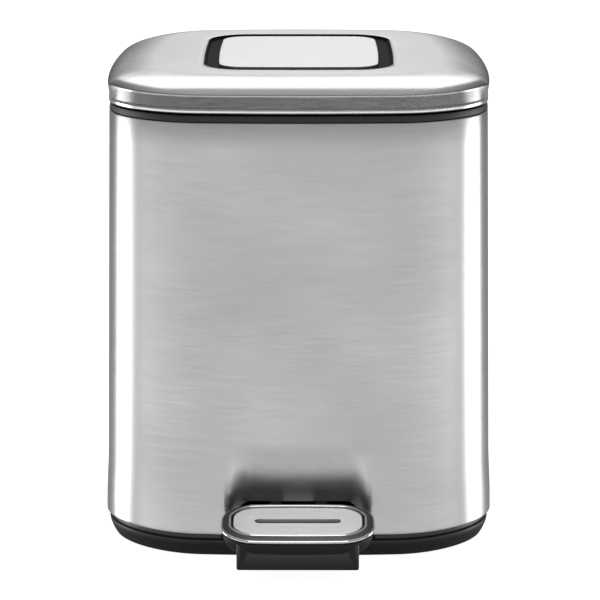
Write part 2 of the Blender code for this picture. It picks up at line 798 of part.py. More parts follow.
def make_hinge_bracket():
    back = BODY_HALF_DEPTH + skin_outset(BRACKET_SCREW_Z) + GAP
    face = back + BRACKET_THICKNESS
    ear_out = EAR_INNER + EAR_THICKNESS
    top = HINGE_Z - HUB_RADIUS + HUB_CLEARANCE
    low = BRACKET_SCREW_Z - BRACKET_BELOW_SCREW
    bracket = piece_from(
        box((-BRACKET_HALF_WIDTH, back, low), (BRACKET_HALF_WIDTH, face, top)),
        "hinge_bracket",
        "bin_frame",
        black_plastic,
    )
    for side in (-1, 1):
        near, far = sorted((side * EAR_INNER, side * ear_out))
        points = [(back + 0.0010, low + 0.002)]
        points += list(arc((HINGE_Y, HINGE_Z), EAR_RADIUS, -45, 90, 8))
        points += [(back + 0.0010, top + 0.001)]
        join(bracket, extruded(points, near, far), f"ear_join_{side}")
    room = box((-EAR_INNER, back - 0.01, CRANK_LOW), (EAR_INNER, HINGE_Y + 0.01, LID_CROWN))
    cut(bracket, room, "bracket_room_cut")
    hole = cylinder(
        (-0.02, HINGE_Y, HINGE_Z), (0.02, HINGE_Y, HINGE_Z), HINGE_PIN_RADIUS + PIN_CLEARANCE
    )
    cut(bracket, hole, "bracket_pin_hole")
    for number, x in enumerate(bracket_screw_places(), 1):
        bore = cylinder((x, back - 0.01, BRACKET_SCREW_Z), (x, HINGE_Y + 0.01, BRACKET_SCREW_Z), SCREW_HOLE)
        cut(bracket, bore, f"bracket_screw_hole_{number}")
        seat = (x, face + GAP, BRACKET_SCREW_Z)
        screw(f"bracket_screw_{number}", seat, (0, 1, 0), BRACKET_SCREW_LENGTH, "bin_frame", zinc_steel)


def make_hinge_pin():
    reach = EAR_INNER + EAR_THICKNESS + HINGE_PIN_PAST_EAR
    pin = cylinder((-reach, HINGE_Y, HINGE_Z), (reach, HINGE_Y, HINGE_Z), HINGE_PIN_RADIUS)
    piece_from(pin, "hinge_pin", "bin_frame", zinc_steel)
    for number, side in enumerate((-1, 1), 1):
        near = EAR_INNER + EAR_THICKNESS + GAP
        depth = HINGE_PIN_PAST_EAR + COLLAR_FIT
        outer = HINGE_PIN_RADIUS * 2
        profile = [
            (0, depth + 0.0009),
            (outer - 0.0010, depth + 0.0009),
            (outer, depth + 0.0002),
            (outer, 0),
            (HINGE_PIN_RADIUS + GAP, 0),
            (HINGE_PIN_RADIUS + GAP, depth),
            (0, depth),
        ]
        base = (side * near, HINGE_Y, HINGE_Z)
        turned(f"hinge_cap_{number}", profile, base, (side, 0, 0), "bin_frame", black_plastic)


# ---------------------------------------------------------------- lid


def lid_point(turn):
    """(inset, z) of the lid's shoulder at a turn from 0 at the waist to 90 degrees at the crown."""
    inset = LID_SHOULDER * (1 - math.cos(turn))
    return inset, LID_WAIST + LID_RISE * math.sin(turn) ** LID_SHOULDER_POWER


def slope_at(share, y):
    return LID_SLOPE * y * share


def make_lid_shell():
    plan = lid_plan()
    rows = [
        (-LID_HEM_DEPTH, LID_HEM_BOTTOM, 0.0),
        (-LID_HEM_DEPTH / 3, LID_HEM_BOTTOM + LID_HEM_HEIGHT * 0.4, 0.0),
        (-LID_HEM_DEPTH, LID_HEM_BOTTOM + LID_HEM_HEIGHT, 0.0),
    ]
    steps = 7
    for step in range(steps + 1):
        share = step / steps
        inset, z = lid_point(share * math.pi / 2)
        rows.append((-inset, z, share))
    rings = []
    for outset, z, share in rows:
        ring = plan.ring(outset, z)
        for point in ring:
            point.z += slope_at(share, point.y)
        rings.append(ring)
    bm = loft(rings)
    top = [edge for edge in bm.edges if edge.is_boundary and edge.verts[0].co.z > LID_WAIST]
    bmesh.ops.contextual_create(bm, geom=top)
    shell = piece_from(bm, "lid_shell", "lid_axis", brushed_steel)
    solidify(shell, SHEET)
    hole = inlay_solid(GAP, LID_CROWN - 0.02, LID_CROWN + 0.02)
    cut(shell, hole, "inlay_cut", "lid_axis")


def inlay_plan():
    return Plan(INLAY_HALF_WIDTH, INLAY_HALF_DEPTH, INLAY_CORNER, INLAY_BOW)


def tilt_with_lid(bm):
    for vert in bm.verts:
        vert.co.z += slope_at(1.0, vert.co.y)
    return bm


def inlay_solid(outset, low, high):
    return tilt_with_lid(stacked_solid(inlay_plan(), [(outset, low), (outset, high)]))


def inlay_boss_places():
    x = INLAY_HALF_WIDTH - INLAY_BOSS_FROM_SIDE
    y = INLAY_HALF_DEPTH - INLAY_BOSS_FROM_FRONT
    return [(sx * x, sy * y) for sx in (-1, 1) for sy in (-1, 1)]


def make_lid_frame():
    top = LID_CROWN + INLAY_PROUD
    floor = LID_CROWN - INLAY_DEPTH
    frame = piece_from(
        inlay_solid(0.0, floor - TRAY_FLOOR, top), "lid_frame", "lid_axis", black_plastic
    )
    hollow = inlay_solid(-INLAY_LIP, floor, top + 0.01)
    cut(frame, hollow, "frame_hollow_cut", "lid_axis")
    for number, (x, y) in enumerate(inlay_boss_places(), 1):
        head = floor - TRAY_FLOOR / 2 + slope_at(1.0, y)
        boss = cylinder((x, y, LINER_CROWN + GAP), (x, y, head), INLAY_BOSS_RADIUS, 12)
        join(frame, boss, f"frame_boss_{number}", "lid_axis")
        bore = cylinder((x, y, LINER_CROWN - 0.005), (x, y, head - 0.0002), SCREW_HOLE, 12)
        cut(frame, bore, f"frame_bore_{number}", "lid_axis")
        seat = (x, y, LINER_CROWN - LINER_WALL - GAP)
        length = head - 0.0008 - SCREW_SHANK - seat[2]
        screw(f"lid_screw_{number}", seat, (0, 0, -1), length, "lid_axis", zinc_steel)


def make_lid_plate():
    low = LID_CROWN - INLAY_DEPTH + GAP
    outset = -INLAY_BAND
    section = [
        (outset, low),
        (outset, LID_CROWN),
        (outset - GAP, LID_CROWN + PLATE_PROUD),
    ]
    bm = tilt_with_lid(stacked_solid(inlay_plan(), section))
    piece_from(bm, "lid_plate", "lid_axis", brushed_steel)


def make_lid_liner():
    plan = lid_plan()
    side = SHEET + LINER_CLEARANCE
    waist = LID_WAIST - LINER_SHOULDER_BELOW
    rows = [(-side, LID_HEM_BOTTOM + LINER_RAISED), (-side, waist)]
    steps = 4
    rise = LINER_CROWN - waist
    for step in range(1, steps + 1):
        turn = step / steps * math.pi / 2
        inset = side + LINER_SHOULDER * (1 - math.cos(turn))
        rows.append((-inset, waist + rise * math.sin(turn)))
    bm = loft([plan.ring(outset, z) for outset, z in rows])
    top = [edge for edge in bm.edges if edge.is_boundary and edge.verts[0].co.z > LID_WAIST]
    bmesh.ops.contextual_create(bm, geom=top)
    liner = piece_from(bm, "lid_liner", "lid_axis", black_plastic)
    solidify(liner, LINER_WALL)
    places = inlay_boss_places() + arm_screw_places()
    for number, (x, y) in enumerate(places, 1):
        hole = cylinder((x, y, LINER_CROWN - 0.01), (x, y, LINER_CROWN + 0.01), SCREW_HOLE, 12)
        cut(liner, hole, f"liner_hole_{number}", "lid_axis")


def arm_screw_places():
    y = LID_HALF_DEPTH - ARM_SCREW_FROM_REAR
    return [(-HUB_HALF_WIDTH, y), (HUB_HALF_WIDTH + CRANK_SIDE, y)]


def make_hinge_arm():
    """The foot under the liner, the web down to the hub, and the crank that the rod pushes."""
    foot_top = LINER_CROWN - LINER_WALL - GAP
    foot_low = foot_top - ARM_THICKNESS
    foot_y = LID_HALF_DEPTH - ARM_FOOT_FRONT
    foot_end = LID_HALF_DEPTH - ARM_FOOT_REAR
    web_y = LID_HALF_DEPTH - ARM_WEB_FROM_REAR
    low_x = CRANK_SIDE - CRANK_HALF_THICKNESS
    high_x = CRANK_SIDE + CRANK_HALF_THICKNESS
    under_hem = LID_HEM_BOTTOM - 2 * GAP
    angle = math.degrees(math.pi + CRANK_ANGLE)
    half = ROD_RADIUS + CRANK_EYE
    crank_end = CRANK_RADIUS + CRANK_SLACK / 2
    tip = (
        HINGE_Y - crank_end * math.cos(CRANK_ANGLE),
        HINGE_Z - crank_end * math.sin(CRANK_ANGLE),
    )
    points = [(foot_y + 0.004, foot_low + 0.0008), (web_y - 0.004, foot_low + 0.0008)]
    points += [(web_y - 0.0005, foot_low - 0.0030), (web_y + 0.0030, under_hem)]
    points += [(HINGE_Y, HINGE_Z + HUB_RADIUS - 0.0004)]
    points += list(arc((HINGE_Y, HINGE_Z), HUB_RADIUS - 0.0004, 60, -30, 5))
    points += list(arc(tip, half, angle + 60, angle - 90, 6))
    points += [(web_y - 0.0008, HINGE_Z + 0.0018), (web_y - 0.0034, HINGE_Z + 0.0080)]
    points += [(foot_end - 0.002, foot_low - 0.0022), (foot_y + 0.004, foot_low - 0.0022)]
    arm = piece_from(extruded(points, low_x, high_x), "hinge_arm", "lid_axis", zinc_steel)
    margin = SCREW_HEAD + 0.0010
    foot = box(
        (-HUB_HALF_WIDTH - margin, foot_y, foot_low),
        (HUB_HALF_WIDTH + CRANK_SIDE + margin, foot_end, foot_top),
    )
    join(arm, foot, "arm_foot_join", "lid_axis")
    hub = cylinder((-HUB_HALF_WIDTH, HINGE_Y, HINGE_Z), (HUB_HALF_WIDTH, HINGE_Y, HINGE_Z), HUB_RADIUS)
    join(arm, hub, "arm_hub_join", "lid_axis")
    hole = cylinder(
        (-0.02, HINGE_Y, HINGE_Z), (0.02, HINGE_Y, HINGE_Z), HINGE_PIN_RADIUS + PIN_CLEARANCE
    )
    cut(arm, hole, "arm_pin_hole", "lid_axis")
    nearest = CRANK_RADIUS * math.cos(CRANK_ANGLE)
    slot = long_hole(
        (HINGE_Y, HINGE_Z),
        angle,
        nearest - CRANK_SLACK / 2,
        crank_end,
        ROD_RADIUS + CRANK_SLACK,
        0,
        2 * ROD_HOOK,
    )
    cut(arm, slot, "crank_slot_cut", "lid_axis")
    for number, (x, y) in enumerate(arm_screw_places(), 1):
        bore = cylinder((x, y, foot_low - 0.005), (x, y, foot_top + 0.005), SCREW_HOLE, 12)
        cut(arm, bore, f"arm_bore_{number}", "lid_axis")
        seat = (x, y, foot_low - GAP)
        screw(f"arm_screw_{number}", seat, (0, 0, -1), ARM_SCREW_LENGTH, "lid_axis", zinc_steel)


# ---------------------------------------------------------------- push rod


def make_push_rod():
    corners = [
        (ROD_HOOK, ROD_Y, ROD_BOTTOM),
        (0, ROD_Y, ROD_BOTTOM),
        (0, ROD_Y, ROD_TOP),
        (ROD_HOOK, ROD_Y, ROD_TOP),
    ]
    wire("push_rod", rounded_path(corners, ROD_BEND), ROD_RADIUS, "rod_axis", zinc_steel)
    for name, z in (("rod_clip_bottom", ROD_BOTTOM), ("rod_clip_top", ROD_TOP)):
        base = (ROD_HOOK - ROD_PAST_CRANK * 0.6, ROD_Y, z)
        spring_clip(name, ROD_RADIUS + GAP, base, (1, 0, 0), "rod_axis")


def spring_clip(name, bore, base, direction, group):
    """A flat ring that keeps a rod or a pin in its hole."""
    outer = bore + CLIP_WIDTH
    profile = [(outer, CLIP_THICKNESS), (outer, 0), (bore, 0), (bore, CLIP_THICKNESS)]
    profile.append(profile[0])
    turned(name, profile, base, direction, group, zinc_steel)


def make_rod_guides():
    places = (
        ("rod_guide_lower", DECK_TOP + GUIDE_ABOVE_DECK),
        ("rod_guide_upper", SKIN_TOP - GUIDE_BELOW_TOP),
    )
    for name, z in places:
        low = z - GUIDE_HALF_HEIGHT
        high = z + GUIDE_HALF_HEIGHT
        back = BODY_HALF_DEPTH + skin_outset(high) - SHEET - GAP
        guide = piece_from(
            box((-GUIDE_HALF_WIDTH, ROD_Y - GUIDE_FRONT, low), (GUIDE_HALF_WIDTH, back, high)),
            name,
            "bin_frame",
            grey_plastic,
        )
        past = 2 * GUIDE_HALF_HEIGHT
        bore = cylinder((0, ROD_Y, z - past), (0, ROD_Y, z + past), ROD_RADIUS + GUIDE_CLEARANCE)
        cut(guide, bore, name + "_bore")


# ---------------------------------------------------------------- pedal


def tilt_pedal(bm):
    """Turns a piece drawn flat about the origin to the pedal's slope and place."""
    turn = Matrix.Rotation(PEDAL_SLOPE, 4, "X")
    bmesh.ops.transform(bm, matrix=Matrix.Translation((0, PEDAL_Y, PEDAL_HEIGHT)) @ turn, verts=bm.verts)
    return bm


def pedal_plan():
    """The tread plate's outline; the ring stands outside it."""
    return Plan(
        PEDAL_HALF_WIDTH - PEDAL_RING,
        PEDAL_HALF_LENGTH - PEDAL_RING,
        PEDAL_CORNER - PEDAL_RING,
        0.0010,
    )


def make_pedal_ring():
    ring = PEDAL_RING
    section = [
        (ring - 0.0006, -RING_UNDER),
        (ring, 0.0010 - RING_UNDER),
        (ring, -0.0004),
        (ring - 0.0005, 0.0002),
        (0.0008, 0.0012),
        (0.0002, 0.0012),
        (0.0, 0.0008),
        (0.0, -RING_UNDER),
    ]
    bm = tilt_pedal(ring_solid(pedal_plan(), section))
    piece_from(bm, "pedal_ring", "pedal_axis", polished_steel)


def make_pedal_plate():
    edge = -PLATE_CLEARANCE
    section = [(edge, -RING_UNDER / 2), (edge, 0.0002), (edge - 0.0004, 0.0005)]
    bm = tilt_pedal(stacked_solid(pedal_plan(), section))
    plate = piece_from(bm, "pedal_plate", "pedal_axis", brushed_steel)
    slot_plan = Plan(SLOT_HALF_LENGTH, SLOT_HALF_WIDTH, SLOT_HALF_WIDTH)
    slot = tilt_pedal(stacked_solid(slot_plan, [(0, -0.01), (0, 0.01)]))
    cut(plate, slot, "plate_slot_cut", "pedal_axis")


def make_pedal_insert():
    plan = Plan(SLOT_HALF_LENGTH + INSERT_MARGIN, SLOT_HALF_WIDTH + INSERT_MARGIN, SLOT_HALF_WIDTH)
    bm = tilt_pedal(stacked_solid(plan, [(0, -RING_UNDER), (0, -RING_UNDER / 2 - GAP)]))
    piece_from(bm, "pedal_insert", "pedal_axis", black_rubber)


def make_pedal_cup():
    """The moulding under the ring, with a straight-sided block down to just above the floor."""
    plan = pedal_plan()
    ring = PEDAL_RING
    section = [
        (ring - 0.0060, -0.0120),
        (ring - 0.0025, -0.0085),
        (ring - 0.0010, -0.0050),
        (ring - 0.0008, -RING_UNDER - GAP),
    ]
    cup = piece_from(
        tilt_pedal(stacked_solid(plan, section)), "pedal_cup", "pedal_axis", black_plastic
    )
    front = FRONT_Y - BLOCK_FRONT
    back = FRONT_Y - BLOCK_BACK
    block_plan = Plan(BLOCK_HALF_WIDTH, (back - front) / 2, 0.0015, 0.0, (back + front) / 2)
    roof = PEDAL_HEIGHT + 0.0200
    block = stacked_solid(block_plan, [(-0.0006, BLOCK_BOTTOM), (0, BLOCK_BOTTOM + 0.0008), (0, roof)])
    slab_front = front - 0.02
    over = tilt_pedal(box((-0.06, slab_front - PEDAL_Y, -0.0040), (0.06, 0.04, 0.05)))
    join(cup, block, "block_join", "pedal_axis")
    cut(cup, over, "block_top_cut", "pedal_axis")
    rim = [(ring - 0.0012, -0.0046), (ring - 0.0008, -RING_UNDER - GAP)]
    join(cup, tilt_pedal(stacked_solid(plan, rim)), "cup_rim_join", "pedal_axis")
    hollow = box(
        (-BLOCK_HALF_WIDTH + CUP_WALL, front + CUP_WALL, 0),
        (BLOCK_HALF_WIDTH - CUP_WALL, back + 0.02, LEVER_HEIGHT - LEVER_THICKNESS / 2 - 0.0008),
    )
    cut(cup, hollow, "block_hollow_cut", "pedal_axis")
    groove = box(
        (-LEVER_HALF_WIDTH - LEVER_CLEARANCE, LEVER_FRONT_Y - LEVER_CLEARANCE, BLOCK_BOTTOM + 0.0019),
        (
            LEVER_HALF_WIDTH + LEVER_CLEARANCE,
            back + 0.02,
            LEVER_HEIGHT + LEVER_THICKNESS / 2 + LEVER_CLEARANCE,
        ),
    )
    cut(cup, groove, "lever_groove_cut", "pedal_axis")
    under = LEVER_HEIGHT - LEVER_THICKNESS / 2 - GAP
    for number, y in enumerate(pedal_screw_places(), 1):
        top = under + PEDAL_SCREW_LENGTH + SCREW_SHANK
        bore = cylinder((0, y, under), (0, y, top - 0.0001), SCREW_HOLE, 12)
        cut(cup, bore, f"pedal_bore_{number}", "pedal_axis")
        seat = (0, y, under)
        screw(f"pedal_screw_{number}", seat, (0, 0, -1), PEDAL_SCREW_LENGTH, "pedal_axis", zinc_steel)


def pedal_screw_places():
    return (LEVER_FRONT_Y + 0.0060, LEVER_FRONT_Y + 0.0170)


def make_pedal_lever():
    low = LEVER_HEIGHT - LEVER_THICKNESS / 2
    high = LEVER_HEIGHT + LEVER_THICKNESS / 2
    rear = ROD_Y - ROD_ROOM
    lever = piece_from(
        box((-LEVER_HALF_WIDTH, LEVER_FRONT_Y, low), (LEVER_HALF_WIDTH, rear, high)),
        "pedal_lever",
        "pedal_axis",
        zinc_steel,
    )
    hub = cylinder(
        (-LEVER_HALF_WIDTH, PIVOT_Y, LEVER_HEIGHT),
        (LEVER_HALF_WIDTH, PIVOT_Y, LEVER_HEIGHT),
        LEVER_HUB_RADIUS,
    )
    join(lever, hub, "lever_hub_join", "pedal_axis")
    low_x = CRANK_SIDE - CRANK_HALF_THICKNESS
    high_x = CRANK_SIDE + CRANK_HALF_THICKNESS
    waist = LEVER_TAB_RADIUS - 0.0002
    points = [(rear - 0.012, low), (rear - 0.004, LEVER_HEIGHT - waist)]
    points += list(arc((ROD_Y + 0.0003, LEVER_HEIGHT), LEVER_TAB_RADIUS, -80, 80, 8))
    points += [(rear - 0.004, LEVER_HEIGHT + waist), (rear - 0.012, high)]
    join(lever, extruded(points, low_x, high_x), "lever_tab_join", "pedal_axis")
    hole = cylinder(
        (-0.02, PIVOT_Y, LEVER_HEIGHT), (0.02, PIVOT_Y, LEVER_HEIGHT), LEVER_PIN_RADIUS + PIN_CLEARANCE
    )
    cut(lever, hole, "lever_pivot_hole", "pedal_axis")
    slot = long_hole(
        (ROD_Y, LEVER_HEIGHT), 0, -0.0001, 0.0007, ROD_RADIUS + LEVER_SLACK, 0, 2 * ROD_HOOK
    )
    cut(lever, slot, "lever_slot_cut", "pedal_axis")
    for number, y in enumerate(pedal_screw_places(), 1):
        bore = cylinder((0, y, low - 0.005), (0, y, high + 0.005), SCREW_HOLE, 12)
        cut(lever, bore, f"lever_bore_{number}", "pedal_axis")


def make_lever_pin():
    cheek_end = LEVER_HALF_WIDTH + CHEEK_GAP + CHEEK_THICKNESS
    reach = cheek_end + LEVER_PIN_PAST_CHEEK
    pin = cylinder((-reach, PIVOT_Y, LEVER_HEIGHT), (reach, PIVOT_Y, LEVER_HEIGHT), LEVER_PIN_RADIUS)
    piece_from(pin, "lever_pin", "bin_frame", zinc_steel)
    for number, side in enumerate((-1, 1), 1):
        base = (side * (cheek_end + GAP), PIVOT_Y, LEVER_HEIGHT)
        spring_clip(f"lever_clip_{number}", LEVER_PIN_RADIUS + GAP, base, (side, 0, 0), "bin_frame")


# ---------------------------------------------------------------- bucket


def bucket_plan():
    return Plan(
        BUCKET_HALF_WIDTH,
        BUCKET_HALF_DEPTH,
        BODY_CORNER - COLLAR_INNER,
        BODY_BOW,
        BUCKET_CENTRE_Y,
    )


def make_inner_bucket():
    plan = bucket_plan()
    wall = -BUCKET_RIM
    foot = -BUCKET_RIM - BUCKET_DRAFT
    rim = BUCKET_TOP - BUCKET_WALL
    rows = [
        (foot - 0.0060, BUCKET_BOTTOM),
        (foot - 0.0015, BUCKET_BOTTOM + 0.0015),
        (foot, BUCKET_BOTTOM + 0.0060),
        (wall, rim - 0.0026),
        (wall + 0.0006, rim - 0.0006),
        (wall + 0.0016, rim),
        (-GAP, rim),
    ]
    bm = loft([plan.ring(outset, z) for outset, z in rows])
    bottom = [e for e in bm.edges if e.is_boundary and e.verts[0].co.z < BUCKET_BOTTOM + 0.001]
    bmesh.ops.contextual_create(bm, geom=bottom)
    bucket = piece_from(bm, "inner_bucket", "bucket_axis", grey_plastic)
    solidify(bucket, BUCKET_WALL, 1.0)
    for side in (-1, 1):
        outer = side * LUG_OUTER
        inner = side * (LUG_OUTER - LUG_THICKNESS)
        points = [(BUCKET_CENTRE_Y + LUG_HALF_WIDTH, BUCKET_TOP - LUG_DROP)]
        points += list(arc((BUCKET_CENTRE_Y, BAIL_Z), 0.0034, 0, 180, 8))
        points += [(BUCKET_CENTRE_Y - LUG_HALF_WIDTH, BUCKET_TOP - LUG_DROP)]
        lug = extruded(points, min(inner, outer), max(inner, outer))
        join(bucket, lug, f"lug_join_{side}", "bucket_axis")
        hole = cylinder(
            (side * (BAIL_HALF_WIDTH - 0.012), BUCKET_CENTRE_Y, BAIL_Z),
            (side * (BAIL_HALF_WIDTH + 0.002), BUCKET_CENTRE_Y, BAIL_Z),
            BAIL_RADIUS + GAP,
            12,
        )
        cut(bucket, hole, f"lug_hole_{side}", "bucket_axis")


def make_bucket_bail():
    """A wire along the front half of the rim, with its ends turned in through the lugs."""
    outline = rounded_outline(
        BAIL_HALF_WIDTH, BAIL_LENGTH, BODY_CORNER - COLLAR_INNER - BUCKET_RIM / 2, BODY_BOW, (1, 1, 4, 1)
    )
    front = [(x, y) for x, y in outline if y < -BAIL_LENGTH / 4]
    front.sort(key=lambda spot: math.atan2(spot[0], -spot[1]))
    path = [Vector((x, y + BUCKET_CENTRE_Y, BAIL_Z)) for x, y in front]
    end = LUG_OUTER - LUG_THICKNESS - 0.0026
    first = [(-end, 0), (-BAIL_HALF_WIDTH + BAIL_BEND, 0), (-BAIL_HALF_WIDTH, -BAIL_BEND)]
    first = [Vector((x, y + BUCKET_CENTRE_Y, BAIL_Z)) for x, y in first]
    last = [Vector((-spot.x, spot.y, spot.z)) for spot in reversed(first)]
    wire("bucket_bail", first + path + last, BAIL_RADIUS, "bail_axis", polished_steel)


# ---------------------------------------------------------------- assembly


def main():
    global PARTS, TOOLS
    clear_scene()
    PARTS = add_collection("pedal_bin")
    TOOLS = add_collection("cutters")
    add_group("bin_frame", (0, 0, 0))
    add_group("lid_axis", (0, HINGE_Y, HINGE_Z), "bin_frame")
    add_group("pedal_axis", (0, PIVOT_Y, LEVER_HEIGHT), "bin_frame")
    add_group("rod_axis", (0, ROD_Y, ROD_BOTTOM), "bin_frame")
    add_group("bucket_axis", (0, BUCKET_CENTRE_Y, BUCKET_BOTTOM), "bin_frame")
    add_group("bail_axis", (0, BUCKET_CENTRE_Y, BAIL_Z), "bucket_axis")
    make_body_shell()
    make_top_collar()
    make_lid_bumpers()
    make_base_housing()
    make_bottom_cover()
    make_feet_and_base_screws()
    make_hinge_bracket()
    make_hinge_pin()
    make_lid_shell()
    make_lid_frame()
    make_lid_plate()
    make_lid_liner()
    make_hinge_arm()
    make_push_rod()
    make_rod_guides()
    make_pedal_ring()
    make_pedal_plate()
    make_pedal_insert()
    make_pedal_cup()
    make_pedal_lever()
    make_lever_pin()
    make_inner_bucket()
    make_bucket_bail()


main()
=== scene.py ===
import math
from types import SimpleNamespace

import bmesh
import bpy
from mathutils import Matrix, Vector


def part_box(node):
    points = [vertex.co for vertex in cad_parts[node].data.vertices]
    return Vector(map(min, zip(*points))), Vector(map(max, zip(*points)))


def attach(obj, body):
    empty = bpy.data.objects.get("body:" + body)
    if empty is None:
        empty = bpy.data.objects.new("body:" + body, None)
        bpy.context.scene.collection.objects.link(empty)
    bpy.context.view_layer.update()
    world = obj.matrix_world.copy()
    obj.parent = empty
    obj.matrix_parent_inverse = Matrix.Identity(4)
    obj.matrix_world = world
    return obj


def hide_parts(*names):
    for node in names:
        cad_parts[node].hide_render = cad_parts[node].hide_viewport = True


bl_info = {
    "name": "Pedal bin",
    "version": (1, 0, 0),
    "blender": (4, 5, 0),
    "location": "3D View > Sidebar > Pedal bin",
    "description": "Builds the finished surfaces of a small steel pedal bin around its packed frame",
    "category": "Object",
}

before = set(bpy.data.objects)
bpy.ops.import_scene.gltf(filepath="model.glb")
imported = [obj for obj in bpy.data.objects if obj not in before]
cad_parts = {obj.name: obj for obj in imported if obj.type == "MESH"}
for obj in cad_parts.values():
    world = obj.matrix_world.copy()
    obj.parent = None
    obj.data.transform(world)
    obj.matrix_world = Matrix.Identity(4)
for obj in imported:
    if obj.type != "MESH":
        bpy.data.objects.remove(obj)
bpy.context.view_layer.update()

CORNER_STEPS = 20
SIDE_STEPS = 20
SOFT_EDGE = math.radians(35)
LEAST_CORNER = 0.0004
ON_AXIS = 0.0002


# ---------------------------------------------------------------- settings


def length(name, description, default, **more):
    return bpy.props.FloatProperty(
        name=name, description=description, default=default, unit="LENGTH", precision=5, **more
    )


def angle(name, description, degrees):
    return bpy.props.FloatProperty(
        name=name, description=description, default=math.radians(degrees), subtype="ANGLE"
    )


def number(name, description, default, **more):
    return bpy.props.FloatProperty(name=name, description=description, default=default, **more)


def colour(name, description, default):
    return bpy.props.FloatVectorProperty(
        name=name, description=description, default=default, size=3, subtype="COLOR", min=0, max=1
    )


class BinBodySettings(bpy.types.PropertyGroup):
    """Shape of the skin, the collar and the base."""

    corner: length("Corner radius", "Radius of the body's upright corners", 0.0470)
    bow: length("Side bow", "How far the corners stand back from the middle of each side", 0.0065)
    flare: length("Flare", "How much further out the skin stands at its bottom edge", 0.0031)
    foot_flare: length("Foot flare", "A little more flare near the floor", 0.0006)
    foot_flare_top: length("Foot flare top", "Height where the foot flare starts", 0.0450)
    foot_flare_height: length("Foot flare height", "Height over which it grows", 0.0250)
    sheet: length("Sheet", "Thickness of the steel sheet", 0.0008)
    scoop_half_width: length("Scoop half width", "Half the width of the pressed scoop", 0.0310)
    scoop_edge: length("Scoop edge", "Width of the scoop's soft side", 0.0150)
    scoop_depth: length("Scoop depth", "How far the front is pressed in", 0.0110)
    scoop_top: length("Scoop top", "Height where the scoop fades out", 0.0640)
    scoop_power: number("Scoop fullness", "Above 1 makes the scoop fade out softly at its top", 1.7)
    opening_half_width: length("Opening half width", "Half the width of the pedal opening", 0.0325)
    opening_top: length("Opening top", "Height of the pedal opening", 0.0290)
    opening_corner: length("Opening corner", "Radius of the opening's top corners", 0.0060)
    collar_recess: length("Collar recess", "How far the collar stands back from the skin", 0.0009)
    collar_width: length("Collar width", "Width of the collar's top face", 0.0071)
    base_inset: length("Base inset", "Depth of the dark band under the skin", 0.0022)


class BinLidSettings(bpy.types.PropertyGroup):
    """Shape of the lid and of what is let into it."""

    wall: length("Lid wall", "Height from the hem to the waist", 0.0092)
    rise: length("Lid rise", "Height from the waist to the crown", 0.0097)
    shoulder: length("Shoulder", "Width of the rounded shoulder", 0.0260)
    shoulder_power: number("Shoulder fullness", "Above 1 makes the shoulder's foot softer", 1.23)
    slope: number("Crown slope", "The crown's rise for each metre towards the back", 0.026)
    hem_radius: length("Hem radius", "Radius of the hem's folded edge", 0.0007)
    hem_height: length("Hem height", "Height of the flat hem band", 0.0019)
    hem_depth: length("Hem depth", "How far the side walls stand back above the hem", 0.0005)
    lean: length("Lean", "How far the front and back walls lean in at the waist", 0.0013)
    inlay_corner: length("Inlay corner", "Corner radius of the surround", 0.0200)
    inlay_bow: length("Inlay bow", "How far its corners stand back", 0.0012)
    inlay_band: length("Inlay band", "Width of the dark channel", 0.0077)
    inlay_depth: length("Inlay depth", "Depth of the dark channel", 0.0015)
    gap: length("Gap", "Gap between pieces that touch", 0.0003)


class BinPedalSettings(bpy.types.PropertyGroup):
    """Shape and place of the pedal."""

    slope: angle("Pedal slope", "Slope of the tread towards the front", 10.0)
    reach: length("Reach", "From the skin's front to the pedal's middle", 0.0276)
    height: length("Height", "Height of the tread's middle", 0.0288)
    half_width: length("Half width", "Half the width over the rim", 0.0397)
    half_length: length("Half length", "Half the length over the rim", 0.0222)
    corner: length("Corner radius", "Corner radius of the rim", 0.0175)
    rim: length("Rim", "Width of the rim round the tread", 0.0056)
    tread_bow: length("Tread bow", "How far the tread's corners stand back from its sides", 0.0010)
    under: length("Rim depth", "How far the rim reaches below the tread", 0.0024)
    slot_half_length: length("Slot half length", "Half the length of the slot in the tread", 0.0223)
    slot_half_width: length("Slot half width", "Half its width", 0.0023)
    block_half_width: length("Block half width", "Half the width of the block below", 0.0314)
    block_bottom: length("Block bottom", "The block's height above the floor", 0.0081)
    block_front: length("Block front", "From the skin's front to the block's front", 0.0456)
    block_back: length("Block back", "From the skin's front to the block's back", 0.0018)


class BinFinishSettings(bpy.types.PropertyGroup):
    """Colours and sheens."""

    steel: colour("Steel", "Brushed stainless steel", (0.62, 0.62, 0.617))
    steel_roughness: number("Steel roughness", "Mean roughness of the brushed steel", 0.34, min=0, max=1)
    brush_depth: length("Brush depth", "Height of the brushing lines", 0.000004)
    chrome: colour("Polished steel", "Pedal rim and bail", (0.80, 0.80, 0.80))
    # painted reflection: the rim bevel's dark colour stands in for the dark surroundings that the bevel
    # reflects
    bevel: colour("Rim bevel", "Dark satin bevel of the pedal's rim", (0.13, 0.13, 0.132))
    zinc: colour("Zinc", "Zinc-plated lever, rod and screws", (0.55, 0.56, 0.58))
    black: colour("Black plastic", "Base, collar, surround and pedal block", (0.020, 0.020, 0.021))
    grey: colour("Grey plastic", "Bucket and rod guides", (0.085, 0.087, 0.090))
    rubber: colour("Rubber", "Feet and bumpers", (0.014, 0.014, 0.014))


